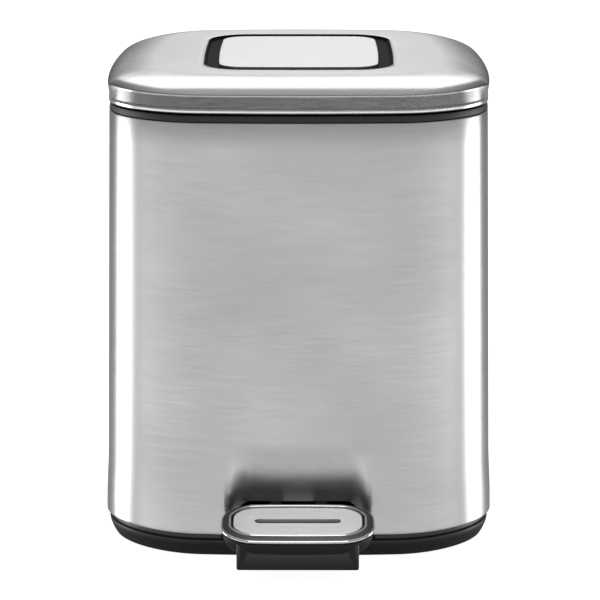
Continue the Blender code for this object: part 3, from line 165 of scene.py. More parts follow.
class BinStudioSettings(bpy.types.PropertyGroup):
    """Camera, lights and floor."""

    lens: number("Lens", "Focal length in millimetres", 180.87)
    camera_place: bpy.props.FloatVectorProperty(
        name="Camera place", description="Where the camera stands", size=3, subtype="XYZ",
        default=(0.0065, -1.6145, 0.4619), unit="LENGTH",
    )
    camera_down: angle("Camera down", "How far the camera looks down", 11.9175)
    camera_turn: angle("Camera turn", "How far it turns to the left", 0.229)
    camera_shift: number("Camera shift", "Sideways shift of the lens", 0.0019)
    side_light: number("Side light", "Power of each side softbox in watts", 2.9)
    top_light: number("Top light", "Power of the overhead softbox in watts", 8.6)
    pedal_light: number("Pedal light", "Power of the small softbox over the pedal in watts", 5.5)
    floor: colour("Floor", "Colour of the pale floor", (0.90, 0.90, 0.90))
    floor_glow: number("Floor glow", "How much the floor brightens towards the white ground", 0.95)
    room_glow: number("Room glow", "Even light from all round", 0.10)
    band_glow: number("Band glow", "Light of the low band in front", 1.75)
    backdrop_glow: number("Backdrop glow", "Light of the narrow backdrop behind", 0.95)
    overhead_glow: number("Overhead glow", "Light from straight above", 0.45)


# ---------------------------------------------------------------- measures from the frame


def measures():
    """Sizes and places that more than one piece needs, taken from the packed frame."""
    body = bpy.context.scene.bin_body
    lid = bpy.context.scene.bin_lid
    skin_low, skin_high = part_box("body_shell")
    lid_low, lid_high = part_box("lid_shell")
    inlay_low, inlay_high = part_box("lid_frame")
    middle = (inlay_low.y + inlay_high.y) / 2
    flare = body.flare + body.foot_flare
    half_depth = skin_high.y - middle - flare
    return SimpleNamespace(
        middle=middle,
        half_width=skin_high.x - flare,
        half_depth=half_depth,
        skin_bottom=skin_low.z,
        skin_top=skin_high.z,
        front=middle - half_depth - flare,
        lid_half_width=lid_high.x,
        lid_half_depth=(lid_high.y - lid_low.y) / 2,
        hem=lid_low.z,
        waist=lid_low.z + lid.wall,
        crown=lid_low.z + lid.wall + lid.rise,
        inlay_half_width=inlay_high.x,
        inlay_half_depth=inlay_high.y - middle,
    )


# ---------------------------------------------------------------- shapes


def ease(share):
    share = min(max(share, 0.0), 1.0)
    return share * share * (3 - 2 * share)


def arc(middle_x, middle_y, radius, first, last, steps, tall=None):
    """Points on an arc between two angles in degrees. tall is its other radius, on an ellipse."""
    tall = radius if tall is None else tall
    turns = [math.radians(first + (last - first) * step / steps) for step in range(steps + 1)]
    return [(middle_x + radius * math.cos(turn), middle_y + tall * math.sin(turn)) for turn in turns]


def rounded_outline(half_x, half_y, corner, bow, sides):
    """A rounded rectangle, counter-clockwise from +X +Y, with sides that bow out at their middles."""
    corner = max(corner, LEAST_CORNER)
    arcs = []
    for sx, sy, first in ((1, 1, 0), (-1, 1, 90), (-1, -1, 180), (1, -1, 270)):
        middle_x, middle_y = sx * (half_x - corner), sy * (half_y - corner)
        arcs.append(arc(middle_x, middle_y, corner, first, first + 90, CORNER_STEPS))
    points = []
    for index, round_corner in enumerate(arcs):
        points += round_corner
        first, last = Vector(round_corner[-1]), Vector(arcs[(index + 1) % 4][0])
        steps = sides[index]
        points += [tuple(first.lerp(last, step / steps)) for step in range(1, steps)]
    bowed = []
    for x, y in points:
        narrow = 1 - bow / half_x * (y / half_y) ** 2
        shallow = 1 - bow / half_y * (x / half_x) ** 2
        bowed.append((x * narrow, y * shallow))
    return bowed


class Plan:
    """The outline that a piece follows."""

    def __init__(self, half_x, half_y, corner, bow=0.0, middle=0.0, sides=(SIDE_STEPS,) * 4):
        self.half_x = half_x
        self.half_y = half_y
        self.corner = corner
        self.bow = bow
        self.middle = middle
        self.sides = sides

    def ring(self, outset, z):
        outline = rounded_outline(
            self.half_x + outset, self.half_y + outset, self.corner + outset, self.bow, self.sides
        )
        return [Vector((x, y + self.middle, z)) for x, y in outline]


def body_plan(sides=(SIDE_STEPS,) * 4):
    m = measures()
    body = bpy.context.scene.bin_body
    return Plan(m.half_width, m.half_depth, body.corner, body.bow, m.middle, sides)


def skin_outset(z):
    """How far the skin stands out at a height, from its outline at the top edge."""
    m = measures()
    body = bpy.context.scene.bin_body
    flare = body.flare * (m.skin_top - z) / (m.skin_top - m.skin_bottom)
    return flare + body.foot_flare * ease((body.foot_flare_top - z) / body.foot_flare_height)


def loft(rings, close_ends=False, join_ends=False, finishes=None):
    """Faces between rings that have the same number of points. finishes gives each band's material."""
    bm = bmesh.new()
    rows = [[bm.verts.new(point) for point in ring] for ring in rings]
    pairs = list(zip(rows, rows[1:]))
    if join_ends:
        pairs.append((rows[-1], rows[0]))
    for index, (low, high) in enumerate(pairs):
        for i in range(len(low)):
            j = (i + 1) % len(low)
            face = bm.faces.new((low[i], low[j], high[j], high[i]))
            if finishes:
                face.material_index = finishes[index]
    if close_ends:
        bm.faces.new(rows[0])
        bm.faces.new(rows[-1])
    bmesh.ops.recalc_face_normals(bm, faces=bm.faces)
    return bm


def stacked(plan, section):
    return loft([plan.ring(outset, z) for outset, z in section], close_ends=True)


def ringed(plan, section, finishes=None):
    return loft([plan.ring(outset, z) for outset, z in section], join_ends=True, finishes=finishes)


def rounded_section(corners, radius, steps=4):
    """A closed section with each of its corners made round, as far as its sides leave room."""
    points = []
    count = len(corners)
    for index, corner in enumerate(corners):
        here = Vector(corner)
        before = Vector(corners[index - 1]) - here
        after = Vector(corners[(index + 1) % count]) - here
        room = min(radius, before.length * 0.45, after.length * 0.45)
        first = here + before.normalized() * room
        last = here + after.normalized() * room
        for step in range(steps + 1):
            share = step / steps
            points.append(tuple(first.lerp(here, share).lerp(here.lerp(last, share), share)))
    return points


def box(low, high, bevel=0.0):
    bm = bmesh.new()
    size = Vector(high) - Vector(low)
    matrix = Matrix.Translation((Vector(high) + Vector(low)) / 2) @ Matrix.Diagonal((*size, 1))
    bmesh.ops.create_cube(bm, size=1.0, matrix=matrix)
    if bevel:
        bmesh.ops.bevel(bm, geom=bm.edges[:], offset=bevel, segments=3, affect="EDGES", profile=0.5)
    return bm


def rod(start, end, radius, segments=32):
    bm = bmesh.new()
    start, end = Vector(start), Vector(end)
    turn = (end - start).to_track_quat("Z", "Y").to_matrix().to_4x4()
    bmesh.ops.create_cone(
        bm, cap_ends=True, segments=segments, radius1=radius, radius2=radius,
        depth=(end - start).length, matrix=Matrix.Translation((start + end) / 2) @ turn,
    )
    return bm


def across(points, low_x, high_x):
    """A plate across X, from its outline in Y and Z."""
    bm = bmesh.new()
    face = bm.faces.new([bm.verts.new((low_x, y, z)) for y, z in points])
    grown = bmesh.ops.extrude_face_region(bm, geom=[face])
    moved = [item for item in grown["geom"] if isinstance(item, bmesh.types.BMVert)]
    bmesh.ops.translate(bm, verts=moved, vec=(high_x - low_x, 0, 0))
    bmesh.ops.recalc_face_normals(bm, faces=bm.faces)
    return bm


def turned(profile, place, direction, segments=40):
    """A round solid from (radius, height) pairs. A solid end is a tiny flat, ON_AXIS in radius."""
    rings = []
    for radius, height in profile:
        ring = []
        for step in range(segments):
            turn = 2 * math.pi * step / segments
            ring.append(Vector((radius * math.cos(turn), radius * math.sin(turn), height)))
        rings.append(ring)
    bm = loft(rings, close_ends=True)
    turn = Vector(direction).to_track_quat("Z", "Y").to_matrix().to_4x4()
    bmesh.ops.transform(bm, matrix=Matrix.Translation(place) @ turn, verts=bm.verts)
    return bm


def mesh_object(name, bm, *finishes):
    """An object in the scene, from a bmesh that this uses up."""
    mesh = bpy.data.meshes.new(name)
    bm.to_mesh(mesh)
    bm.free()
    for finish in finishes:
        mesh.materials.append(finish())
    obj = bpy.data.objects.new(name, mesh)
    bpy.context.scene.collection.objects.link(obj)
    return obj


def apply_modifiers(obj):
    bpy.context.view_layer.update()
    graph = bpy.context.evaluated_depsgraph_get()
    mesh = bpy.data.meshes.new_from_object(obj.evaluated_get(graph))
    obj.modifiers.clear()
    obj.data = mesh


def boolean(obj, bm, operation):
    tool = mesh_object("tool", bm)
    step = obj.modifiers.new(operation, "BOOLEAN")
    step.operation = operation
    step.solver = "EXACT"
    step.object = tool
    apply_modifiers(obj)
    bpy.data.objects.remove(tool, do_unlink=True)


def cut(obj, bm):
    boolean(obj, bm, "DIFFERENCE")


def join(obj, bm):
    boolean(obj, bm, "UNION")


def thicken(obj, thickness, offset=-1.0):
    step = obj.modifiers.new("wall", "SOLIDIFY")
    step.thickness = thickness
    step.offset = offset
    step.use_even_offset = True
    apply_modifiers(obj)


def place_piece(obj, body, slot, *nodes):
    """Shades a piece and ties it to the frame: the body it rides on, its finish, and what it stands for."""
    if obj.type == "MESH":
        obj.data.shade_smooth()
        obj.data.set_sharp_from_angle(angle=SOFT_EDGE)
    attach(obj, body)
    if nodes:
        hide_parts(*nodes)
    return obj


# ---------------------------------------------------------------- shared effects


def new_group(name, inputs, outputs):
    """An empty shader node group: its tree, its input node and its output node."""
    tree = bpy.data.node_groups.new(name, "ShaderNodeTree")
    for label, kind, value in inputs:
        socket = tree.interface.new_socket(name=label, in_out="INPUT", socket_type=kind)
        if value is not None:
            socket.default_value = value
    for label, kind in outputs:
        tree.interface.new_socket(name=label, in_out="OUTPUT", socket_type=kind)
    return tree, tree.nodes.new("NodeGroupInput"), tree.nodes.new("NodeGroupOutput")


def math_node(tree, operation, first, second, clamp=False):
    node = tree.nodes.new("ShaderNodeMath")
    node.operation = operation
    node.use_clamp = clamp
    for socket, value in zip(node.inputs, (first, second)):
        if isinstance(value, (int, float)):
            socket.default_value = value
        else:
            tree.links.new(value, socket)
    return node.outputs["Value"]


def product(tree, *factors):
    result = factors[0]
    for factor in factors[1:]:
        result = math_node(tree, "MULTIPLY", result, factor)
    return result


def noise_node(tree, vector, scale, detail, roughness=0.5):
    node = tree.nodes.new("ShaderNodeTexNoise")
    node.inputs["Scale"].default_value = scale
    node.inputs["Detail"].default_value = detail
    node.inputs["Roughness"].default_value = roughness
    tree.links.new(vector, node.inputs["Vector"])
    return node.outputs["Fac"]


def stretched(tree, vector, stretch):
    """A vector multiplied along each axis."""
    node = tree.nodes.new("ShaderNodeVectorMath")
    node.operation = "MULTIPLY"
    tree.links.new(vector, node.inputs[0])
    if isinstance(stretch, tuple):
        node.inputs[1].default_value = stretch
    else:
        tree.links.new(stretch, node.inputs[1])
    return node.outputs["Vector"]


def spread(tree, value, low, high, to_low, to_high):
    """A value mapped from one span to another, and held inside it."""
    node = tree.nodes.new("ShaderNodeMapRange")
    for label, amount in zip(("From Min", "From Max", "To Min", "To Max"), (low, high, to_low, to_high)):
        node.inputs[label].default_value = amount
    tree.links.new(value, node.inputs["Value"])
    return node.outputs["Result"]


def brushing_group():
    """Fine lines, long along the axes with a small Stretch and close together along the others."""
    tree, given, made = new_group(
        "brushing",
        [
            ("Vector", "NodeSocketVector", None),
            ("Stretch", "NodeSocketVector", (8, 8, 1500)),
            ("Roughness", "NodeSocketFloat", 0.3),
            ("Roughness Spread", "NodeSocketFloat", 0.05),
            ("Tone Spread", "NodeSocketFloat", 0.05),
            ("Colour", "NodeSocketColor", (0.6, 0.6, 0.6, 1)),
        ],
        [("Colour", "NodeSocketColor"), ("Roughness", "NodeSocketFloat"), ("Height", "NodeSocketFloat")],
    )
    vector = stretched(tree, given.outputs["Vector"], given.outputs["Stretch"])
    fine = noise_node(tree, vector, 1.0, 3.0, 0.65)
    broad = noise_node(tree, stretched(tree, vector, (0.7, 0.16, 0.16)), 1.0, 2.0)
    cloud = noise_node(tree, given.outputs["Vector"], 14.0, 2.0)
    mixed = math_node(
        tree, "ADD", math_node(tree, "MULTIPLY", fine, 0.85), math_node(tree, "MULTIPLY", broad, 0.15)
    )
    centred = math_node(tree, "SUBTRACT", mixed, 0.5)
    wide = math_node(tree, "MULTIPLY", math_node(tree, "SUBTRACT", cloud, 0.5), 0.5)
    rough = math_node(
        tree, "MULTIPLY", math_node(tree, "ADD", centred, wide), given.outputs["Roughness Spread"]
    )
    tree.links.new(
        math_node(tree, "ADD", given.outputs["Roughness"], math_node(tree, "MULTIPLY", rough, 2.0)),
        made.inputs["Roughness"],
    )
    tone = math_node(tree, "MULTIPLY", centred, given.outputs["Tone Spread"])
    tone = math_node(tree, "ADD", math_node(tree, "MULTIPLY", tone, 2.0), 1.0)
    scale = tree.nodes.new("ShaderNodeVectorMath")
    scale.operation = "SCALE"
    tree.links.new(given.outputs["Colour"], scale.inputs[0])
    tree.links.new(tone, scale.inputs["Scale"])
    tree.links.new(scale.outputs["Vector"], made.inputs["Colour"])
    tree.links.new(mixed, made.inputs["Height"])
    return tree


def grain_group():
    """The fine leathery grain of a moulded surface, with broad rubbed patches."""
    tree, given, made = new_group(
        "moulded_grain",
        [
            ("Vector", "NodeSocketVector", None),
            ("Fineness", "NodeSocketFloat", 1800.0),
            ("Roughness", "NodeSocketFloat", 0.45),
            ("Rubbed", "NodeSocketFloat", 0.06),
            ("Colour", "NodeSocketColor", (0.02, 0.02, 0.02, 1)),
        ],
        [("Colour", "NodeSocketColor"), ("Roughness", "NodeSocketFloat"), ("Height", "NodeSocketFloat")],
    )
    pits = tree.nodes.new("ShaderNodeTexVoronoi")
    pits.feature = "SMOOTH_F1"
    tree.links.new(given.outputs["Vector"], pits.inputs["Vector"])
    tree.links.new(given.outputs["Fineness"], pits.inputs["Scale"])
    speck = tree.nodes.new("ShaderNodeTexNoise")
    speck.inputs["Detail"].default_value = 2.0
    tree.links.new(given.outputs["Vector"], speck.inputs["Vector"])
    tree.links.new(math_node(tree, "MULTIPLY", given.outputs["Fineness"], 0.6), speck.inputs["Scale"])
    height = math_node(
        tree, "ADD", math_node(tree, "MULTIPLY", pits.outputs["Distance"], 0.6),
        math_node(tree, "MULTIPLY", speck.outputs["Fac"], 0.4),
    )
    tree.links.new(height, made.inputs["Height"])
    patch = noise_node(tree, given.outputs["Vector"], 22.0, 3.0)
    rubbed = math_node(tree, "MULTIPLY", math_node(tree, "SUBTRACT", patch, 0.5), given.outputs["Rubbed"])
    tree.links.new(
        math_node(tree, "ADD", given.outputs["Roughness"], math_node(tree, "MULTIPLY", rubbed, 2.0)),
        made.inputs["Roughness"],
    )
    tone = spread(tree, patch, 0.3, 0.7, 0.88, 1.14)
    scale = tree.nodes.new("ShaderNodeVectorMath")
    scale.operation = "SCALE"
    tree.links.new(given.outputs["Colour"], scale.inputs[0])
    tree.links.new(tone, scale.inputs["Scale"])
    tree.links.new(scale.outputs["Vector"], made.inputs["Colour"])
    return tree


def edge_highlight_group():
    """Lightens and polishes convex edges, unevenly."""
    tree, given, made = new_group(
        "painted_edge_highlight",
        [
            ("Vector", "NodeSocketVector", None),
            ("Colour", "NodeSocketColor", (0.02, 0.02, 0.02, 1)),
            ("Worn Colour", "NodeSocketColor", (0.08, 0.08, 0.08, 1)),
            ("Roughness", "NodeSocketFloat", 0.45),
            ("Worn Roughness", "NodeSocketFloat", 0.3),
            ("Amount", "NodeSocketFloat", 0.5),
        ],
        [("Colour", "NodeSocketColor"), ("Roughness", "NodeSocketFloat")],
    )
    point = tree.nodes.new("ShaderNodeNewGeometry").outputs["Pointiness"]
    edge = spread(tree, point, 0.52, 0.62, 0.0, 1.0)
    broken = spread(tree, noise_node(tree, given.outputs["Vector"], 260.0, 3.0), 0.35, 0.65, 0.25, 1.0)
    mask = math_node(
        tree, "MULTIPLY", math_node(tree, "MULTIPLY", edge, broken), given.outputs["Amount"], clamp=True
    )
    # painted highlight: the paler colour goes where the edges are convex
    tint = tree.nodes.new("ShaderNodeMix")
    tint.data_type = "RGBA"
    tree.links.new(mask, tint.inputs["Factor"])
    tree.links.new(given.outputs["Colour"], tint.inputs["A"])
    tree.links.new(given.outputs["Worn Colour"], tint.inputs["B"])
    tree.links.new(tint.outputs["Result"], made.inputs["Colour"])
    sheen = tree.nodes.new("ShaderNodeMix")
    tree.links.new(mask, sheen.inputs["Factor"])
    tree.links.new(given.outputs["Roughness"], sheen.inputs["A"])
    tree.links.new(given.outputs["Worn Roughness"], sheen.inputs["B"])
    tree.links.new(sheen.outputs["Result"], made.inputs["Roughness"])
    return tree


EFFECTS = {"brushing": brushing_group, "moulded_grain": grain_group, "painted_edge_highlight": edge_highlight_group}


# ---------------------------------------------------------------- materials


def effect(tree, name, **values):
    """Places a shared effect in a material. Values are numbers, colours or sockets."""
    node = tree.nodes.new("ShaderNodeGroup")
    node.node_tree = bpy.data.node_groups.get(name) or EFFECTS[name]()
    for label, value in values.items():
        socket = node.inputs[label.replace("_", " ")]
        if isinstance(value, bpy.types.NodeSocket):
            tree.links.new(value, socket)
        elif socket.type == "RGBA":
            socket.default_value = (*value, 1)
        else:
            socket.default_value = value
    return node.outputs


def start_material(name, metallic, specular=0.5):
    """A new material: its node tree, its shader and the coordinates of the piece itself."""
    made = bpy.data.materials.new(name)
    made.use_nodes = True
    tree = made.node_tree
    shader = tree.nodes["Principled BSDF"]
    shader.inputs["Metallic"].default_value = metallic
    shader.inputs["Specular IOR Level"].default_value = specular
    own = tree.nodes.new("ShaderNodeTexCoord").outputs["Object"]
    return made, tree, shader, own


def bump(tree, shader, height, distance, strength=1.0):
    node = tree.nodes.new("ShaderNodeBump")
    node.inputs["Distance"].default_value = distance
    node.inputs["Strength"].default_value = strength
    tree.links.new(height, node.inputs["Height"])
    tree.links.new(node.outputs["Normal"], shader.inputs["Normal"])


def brushed(name, stretch, around, roughness_shift=0.0, tint=1.0, tone=0.13, depth=1.0, lengthwise=0.75):
    """Brushed steel. around turns the brushing round the upright axis; otherwise it runs along X."""
    made = bpy.data.materials.get(name)
    if made:
        return made
    finish = bpy.context.scene.bin_finish
    made, tree, shader, own = start_material(name, 1.0)
    lines = effect(
        tree, "brushing", Vector=own, Stretch=stretch, Roughness_Spread=0.10, Tone_Spread=tone,
        Roughness=finish.steel_roughness + roughness_shift, Colour=[tint * c for c in finish.steel],
    )
    tree.links.new(lines["Colour"], shader.inputs["Base Color"])
    tree.links.new(lines["Roughness"], shader.inputs["Roughness"])
    bump(tree, shader, lines["Height"], finish.brush_depth * depth)
    if around:
        tangent = tree.nodes.new("ShaderNodeTangent")
        tangent.direction_type = "RADIAL"
        tangent.axis = "Z"
        tree.links.new(tangent.outputs["Tangent"], shader.inputs["Tangent"])
    else:
        tangent = tree.nodes.new("ShaderNodeCombineXYZ")
        tangent.inputs["X"].default_value = 1.0
        tree.links.new(tangent.outputs["Vector"], shader.inputs["Tangent"])
    shader.inputs["Anisotropic"].default_value = lengthwise
    shader.inputs["Anisotropic Rotation"].default_value = 0.25
    return made


def skin_steel():
    return brushed("skin_steel", (45, 45, 1500), True)


def lid_steel():
    return brushed("lid_steel", (30, 1500, 1500), False, -0.10, 0.94, 0.05, 0.15, 0.35)


def panel_steel():
    return brushed("panel_steel", (30, 1300, 1300), False, -0.02, 0.90, 0.05, 0.3)


def tread_steel():
    return brushed("tread_steel", (60, 1700, 1700), False, 0.16, 1.35, 0.12)


def bare_metal(name, colour, depth, pattern, **values):
    """Metal with its colour, roughness and fine relief from one shared effect."""
    made = bpy.data.materials.get(name)
    if made:
        return made
    made, tree, shader, own = start_material(name, 1.0)
    marks = effect(tree, pattern, Vector=own, Colour=colour, **values)
    tree.links.new(marks["Colour"], shader.inputs["Base Color"])
    tree.links.new(marks["Roughness"], shader.inputs["Roughness"])
    bump(tree, shader, marks["Height"], depth)
    return made


def polished_steel():
    colour = bpy.context.scene.bin_finish.chrome
    return bare_metal(
        "polished_steel_finish", colour, 0.000001, "brushing", Stretch=(60, 900, 900), Roughness=0.11,
        Roughness_Spread=0.05, Tone_Spread=0.03,
    )


def rim_bevel_painted_reflection():
    # painted reflection: a dark colour in place of the dark surroundings that the bevel reflects
    colour = bpy.context.scene.bin_finish.bevel
    return bare_metal(
        "rim_bevel_painted_reflection", colour, 0.000006, "moulded_grain", Fineness=4200.0, Roughness=0.36, Rubbed=0.05
    )


def zinc_plate():
    colour = bpy.context.scene.bin_finish.zinc
    return bare_metal(
        "zinc_plate", colour, 0.000010, "moulded_grain", Fineness=700.0, Roughness=0.36, Rubbed=0.14
    )


def moulded(name, base, fineness, roughness, depth, edge_highlight, specular=0.5, refraction=1.5):
    """Moulded plastic or rubber: grain, rubbed patches and paler edges."""
    made = bpy.data.materials.get(name)
    if made:
        return made
    made, tree, shader, own = start_material(name, 0.0, specular)
    shader.inputs["IOR"].default_value = refraction
    grain = effect(
        tree, "moulded_grain", Vector=own, Fineness=fineness, Roughness=roughness, Rubbed=0.07, Colour=base,
    )
    # painted highlight: convex edges get a paler colour, about three times the base
    lit_edges = effect(
        tree, "painted_edge_highlight", Vector=own, Colour=grain["Colour"], Roughness=grain["Roughness"],
        Worn_Roughness=roughness * 0.7, Worn_Colour=[min(1.0, c * 3.0 + 0.01) for c in base], Amount=edge_highlight,
    )
    tree.links.new(lit_edges["Colour"], shader.inputs["Base Color"])
    tree.links.new(lit_edges["Roughness"], shader.inputs["Roughness"])
    bump(tree, shader, grain["Height"], depth)
    return made


def black_plastic():
    black = bpy.context.scene.bin_finish.black
    return moulded("black_plastic_finish", black, 2400.0, 0.40, 0.000020, 0.35)


def collar_plastic():
    return moulded("collar_plastic", bpy.context.scene.bin_finish.black, 3200.0, 0.48, 0.000012, 0.25)


def surround_plastic():
    black = bpy.context.scene.bin_finish.black
    return moulded("surround_plastic", black, 3600.0, 0.72, 0.000010, 0.5, refraction=1.12)


def grey_plastic():
    return moulded("grey_plastic_finish", bpy.context.scene.bin_finish.grey, 1500.0, 0.50, 0.000025, 0.3)


def rubber():
    return moulded("rubber_finish", bpy.context.scene.bin_finish.rubber, 2600.0, 0.78, 0.000020, 0.2, 0.3)


# ---------------------------------------------------------------- pieces


CUT_MARGIN = 0.0100


class BinOperator:
    """What the building operators share."""

    bl_options = {"REGISTER", "UNDO"}

    def execute(self, context):
        self.build(context.scene)
        return {"FINISHED"}


class BIN_OT_skin(BinOperator, bpy.types.Operator):
    """Build the brushed steel skin with its scoop and pedal opening"""

    bl_idname = "bin.skin"
    bl_label = "Steel skin"

    scoop_columns: bpy.props.IntProperty(name="Columns", description="Columns across the front", default=84)
    scoop_rows: bpy.props.IntProperty(name="Rows", description="Rows up the scoop", default=40)
    wall_rows: bpy.props.IntProperty(name="Wall rows", description="Rows above the scoop", default=12)
    opening_cut: length("Opening cut", "Depth of the cut that makes the pedal opening", 0.0500)
    notch_half_width: length("Notch half width", "Half the width of the crank's notch", 0.0100)
    notch_start: length("Notch start", "Where the notch starts, behind the body's middle", 0.0900)

    def push(self, x, z, body):
        """How far the front is pressed in at a place on it."""
        side = ease((body.scoop_half_width + body.scoop_edge / 2 - abs(x)) / body.scoop_edge)
        down = (body.scoop_top - z) / (body.scoop_top - body.opening_top)
        return body.scoop_depth * side * min(max(down, 0.0), 1.0) ** body.scoop_power

    def section(self, m, body):
        """(outset, z) round the sheet: up its outside, over the rolled top edge, down its inside and back."""
        roll = body.sheet / 2
        low, high = m.skin_bottom + roll, m.skin_top - roll
        scoop = body.scoop_top - low
        wall = high - body.scoop_top
        heights = [low + scoop * step / self.scoop_rows for step in range(self.scoop_rows)]
        heights += [body.scoop_top + wall * step / self.wall_rows for step in range(self.wall_rows + 1)]
        outside = [(0.0, z) for z in heights]
        inside = [(-body.sheet, z) for z in reversed(heights)]
        return outside + arc(-roll, high, roll, 30, 150, 4) + inside + arc(-roll, low, roll, 210, 330, 4)

    def build(self, scene):
        m = measures()
        body = scene.bin_body
        plan = body_plan((SIDE_STEPS, SIDE_STEPS, self.scoop_columns, SIDE_STEPS))
        rings = []
        for outset, z in self.section(m, body):
            ring = plan.ring(skin_outset(z) + outset, z)
            for point in ring:
                if point.y < m.middle:
                    point.y += self.push(point.x, z, body)
            rings.append(ring)
        skin = mesh_object("steel_skin", loft(rings, join_ends=True), skin_steel)
        self.cut_opening(skin, m, body)
        self.cut_notch(skin, m)
        place_piece(skin, "root", "brushed_steel", "body_shell")

    def cut_opening(self, skin, m, body):
        """A slot up from the bottom edge with round top corners."""
        corner = body.opening_corner
        half = body.opening_half_width
        points = [(-half, 0.0), (half, 0.0)]
        for side, first in ((1, 0), (-1, 90)):
            middle = side * (half - corner)
            points += arc(middle, body.opening_top - corner, corner, first, first + 90, 12)
        bm = across(points, 0.0, self.opening_cut)
        turn = Matrix(((0, 1, 0, 0), (1, 0, 0, m.front - CUT_MARGIN), (0, 0, 1, 0), (0, 0, 0, 1)))
        bmesh.ops.transform(bm, matrix=turn, verts=bm.verts)
        bmesh.ops.recalc_face_normals(bm, faces=bm.faces)
        cut(skin, bm)

    def cut_notch(self, skin, m):
        """Room for the crank at the back."""
        half = self.notch_half_width
        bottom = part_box("hinge_arm")[0].z
        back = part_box("hinge_pin")[0].y
        cut(skin, box((-half, m.middle + self.notch_start, bottom), (half, back, m.crown)))


class BIN_OT_collar(BinOperator, bpy.types.Operator):
    """Build the plastic collar round the top of the skin"""

    bl_idname = "bin.collar"
    bl_label = "Top collar"

    neck_wall: length("Neck wall", "Thickness of the neck that reaches down inside the skin", 0.0022)
    neck_clearance: length("Neck clearance", "Room between neck and skin, above the usual gap", 0.0002)
    edge: length("Edge radius", "Radius of the collar's edges", 0.0006)
    slot_half_width: length("Slot half width", "Half the width of the slot for the crank", 0.0110)
    slot_room: length("Slot room", "How far the slot starts in front of the push rod", 0.0065)

    def build(self, scene):
        m = measures()
        body = scene.bin_body
        low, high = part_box("top_collar")
        gap = scene.bin_lid.gap
        shelf = m.skin_top + gap
        inner = -(body.collar_recess + body.collar_width)
        neck = -(body.sheet + gap + self.neck_clearance)
        section = [
            (-body.collar_recess, shelf),
            (-body.collar_recess, high.z),
            (inner, high.z),
            (inner, shelf),
            (neck - self.neck_wall, shelf - self.neck_wall),
            (neck - self.neck_wall, low.z),
            (neck, low.z),
            (neck, shelf),
        ]
        bm = ringed(body_plan(), rounded_section(section, self.edge))
        collar = mesh_object("rim_collar", bm, collar_plastic)
        half = self.slot_half_width
        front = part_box("push_rod")[0].y - self.slot_room
        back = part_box("hinge_arm")[1].y
        cut(collar, box((-half, front, low.z - CUT_MARGIN), (half, back, m.crown)))
        place_piece(collar, "root", "black_plastic", "top_collar")


class BIN_OT_base(BinOperator, bpy.types.Operator):
    """Build the black base moulding with its recessed band and lever cheeks"""

    bl_idname = "bin.base"
    bl_label = "Base moulding"

    wall: length("Wall", "Thickness of the wall inside the skin", 0.0025)
    band_height: length("Band height", "Height of the recessed band under the skin", 0.0031)
    edge: length("Edge radius", "Radius of the moulding's edges", 0.0009)
    bay_clearance: length("Bay clearance", "Room beside the scoop", 0.0020)
    bay_depth: length("Bay depth", "Depth of the pedal's bay from the skin's front", 0.0200)
    rod_bay_half_width: length("Rod bay half width", "Half the width of the push rod's bay", 0.0120)
    rod_bay_room: length("Rod bay room", "How far that bay starts in front of the rod", 0.0075)
    rod_bay_floor: length("Rod bay floor", "Height of that bay's floor", 0.0125)
    rod_bay_back: length("Rod bay back", "Where that bay ends, behind the body's middle", 0.1300)
    cheek_radius: length("Cheek radius", "Radius of a cheek round the lever's pin", 0.0060)
    cheek_foot: length("Cheek foot", "Half the length of a cheek where it meets the deck", 0.0090)
    cheek_gap: length("Cheek gap", "Room between the lever and a cheek", 0.0010)
    cheek_width: length("Cheek width", "Thickness of a cheek", 0.0060)
    pin_bore: length("Pin bore", "Radius of the hole for the lever's pin", 0.00225)

    def build(self, scene):
        m = measures()
        body = scene.bin_body
        low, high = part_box("base_housing")
        out = body.flare
        wall = out - body.base_inset
        inner = wall - self.wall
        band = m.skin_bottom - self.band_height
        section = [
            (out - 0.0045, low.z),
            (out - 0.0026, 0.0040),
            (out - 0.0012, 0.0075),
            (out - 0.0008, band - 0.0005),
            (wall, band),
            (wall, high.z),
            (inner, high.z),
            (inner, band - 0.0010),
            (out - 0.0070, 0.0060),
            (out - 0.0070, low.z),
        ]
        bm = ringed(body_plan(), rounded_section(section, self.edge))
        base = mesh_object("base_moulding", bm, black_plastic)
        deck_edge = inner + 0.0010
        join(base, stacked(body_plan(), [(deck_edge, high.z - 0.0025), (deck_edge, high.z - 0.0002)]))
        self.add_cheeks(base, high.z - 0.0015)
        room = body.scoop_half_width + body.scoop_edge / 2 + self.bay_clearance
        back = m.front + self.bay_depth
        cut(base, box((-room, m.front - CUT_MARGIN, band + 0.0005), (room, back, body.scoop_top)))
        half = self.rod_bay_half_width
        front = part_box("push_rod")[0].y - self.rod_bay_room
        back = m.middle + self.rod_bay_back
        cut(base, box((-half, front, self.rod_bay_floor), (half, back, body.scoop_top)))
        place_piece(base, "root", "black_plastic", "base_housing")

    def add_cheeks(self, base, top):
        """The two cheeks that hold the lever's pin."""
        pin_low, pin_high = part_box("lever_pin")
        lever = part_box("pedal_lever")[1].x
        pin = (pin_low + pin_high) / 2
        points = [(pin.y - self.cheek_foot, top)]
        points += arc(pin.y, pin.z, self.cheek_radius, 180, 360, 16)
        points.append((pin.y + self.cheek_foot, top))
        for side in (-1, 1):
            inside = side * (lever + self.cheek_gap)
            outside = side * (lever + self.cheek_gap + self.cheek_width)
            join(base, across(points, min(inside, outside), max(inside, outside)))
        ends = (pin_low.x - 0.003, pin.y, pin.z), (pin_high.x + 0.003, pin.y, pin.z)
        cut(base, rod(*ends, self.pin_bore))


def lid_plan():
    """The lid's outline, with corners that run parallel to the body's."""
    m = measures()
    body = bpy.context.scene.bin_body
    overhang = m.lid_half_width - m.half_width
    return Plan(m.lid_half_width, m.lid_half_depth, body.corner + overhang, body.bow, m.middle)


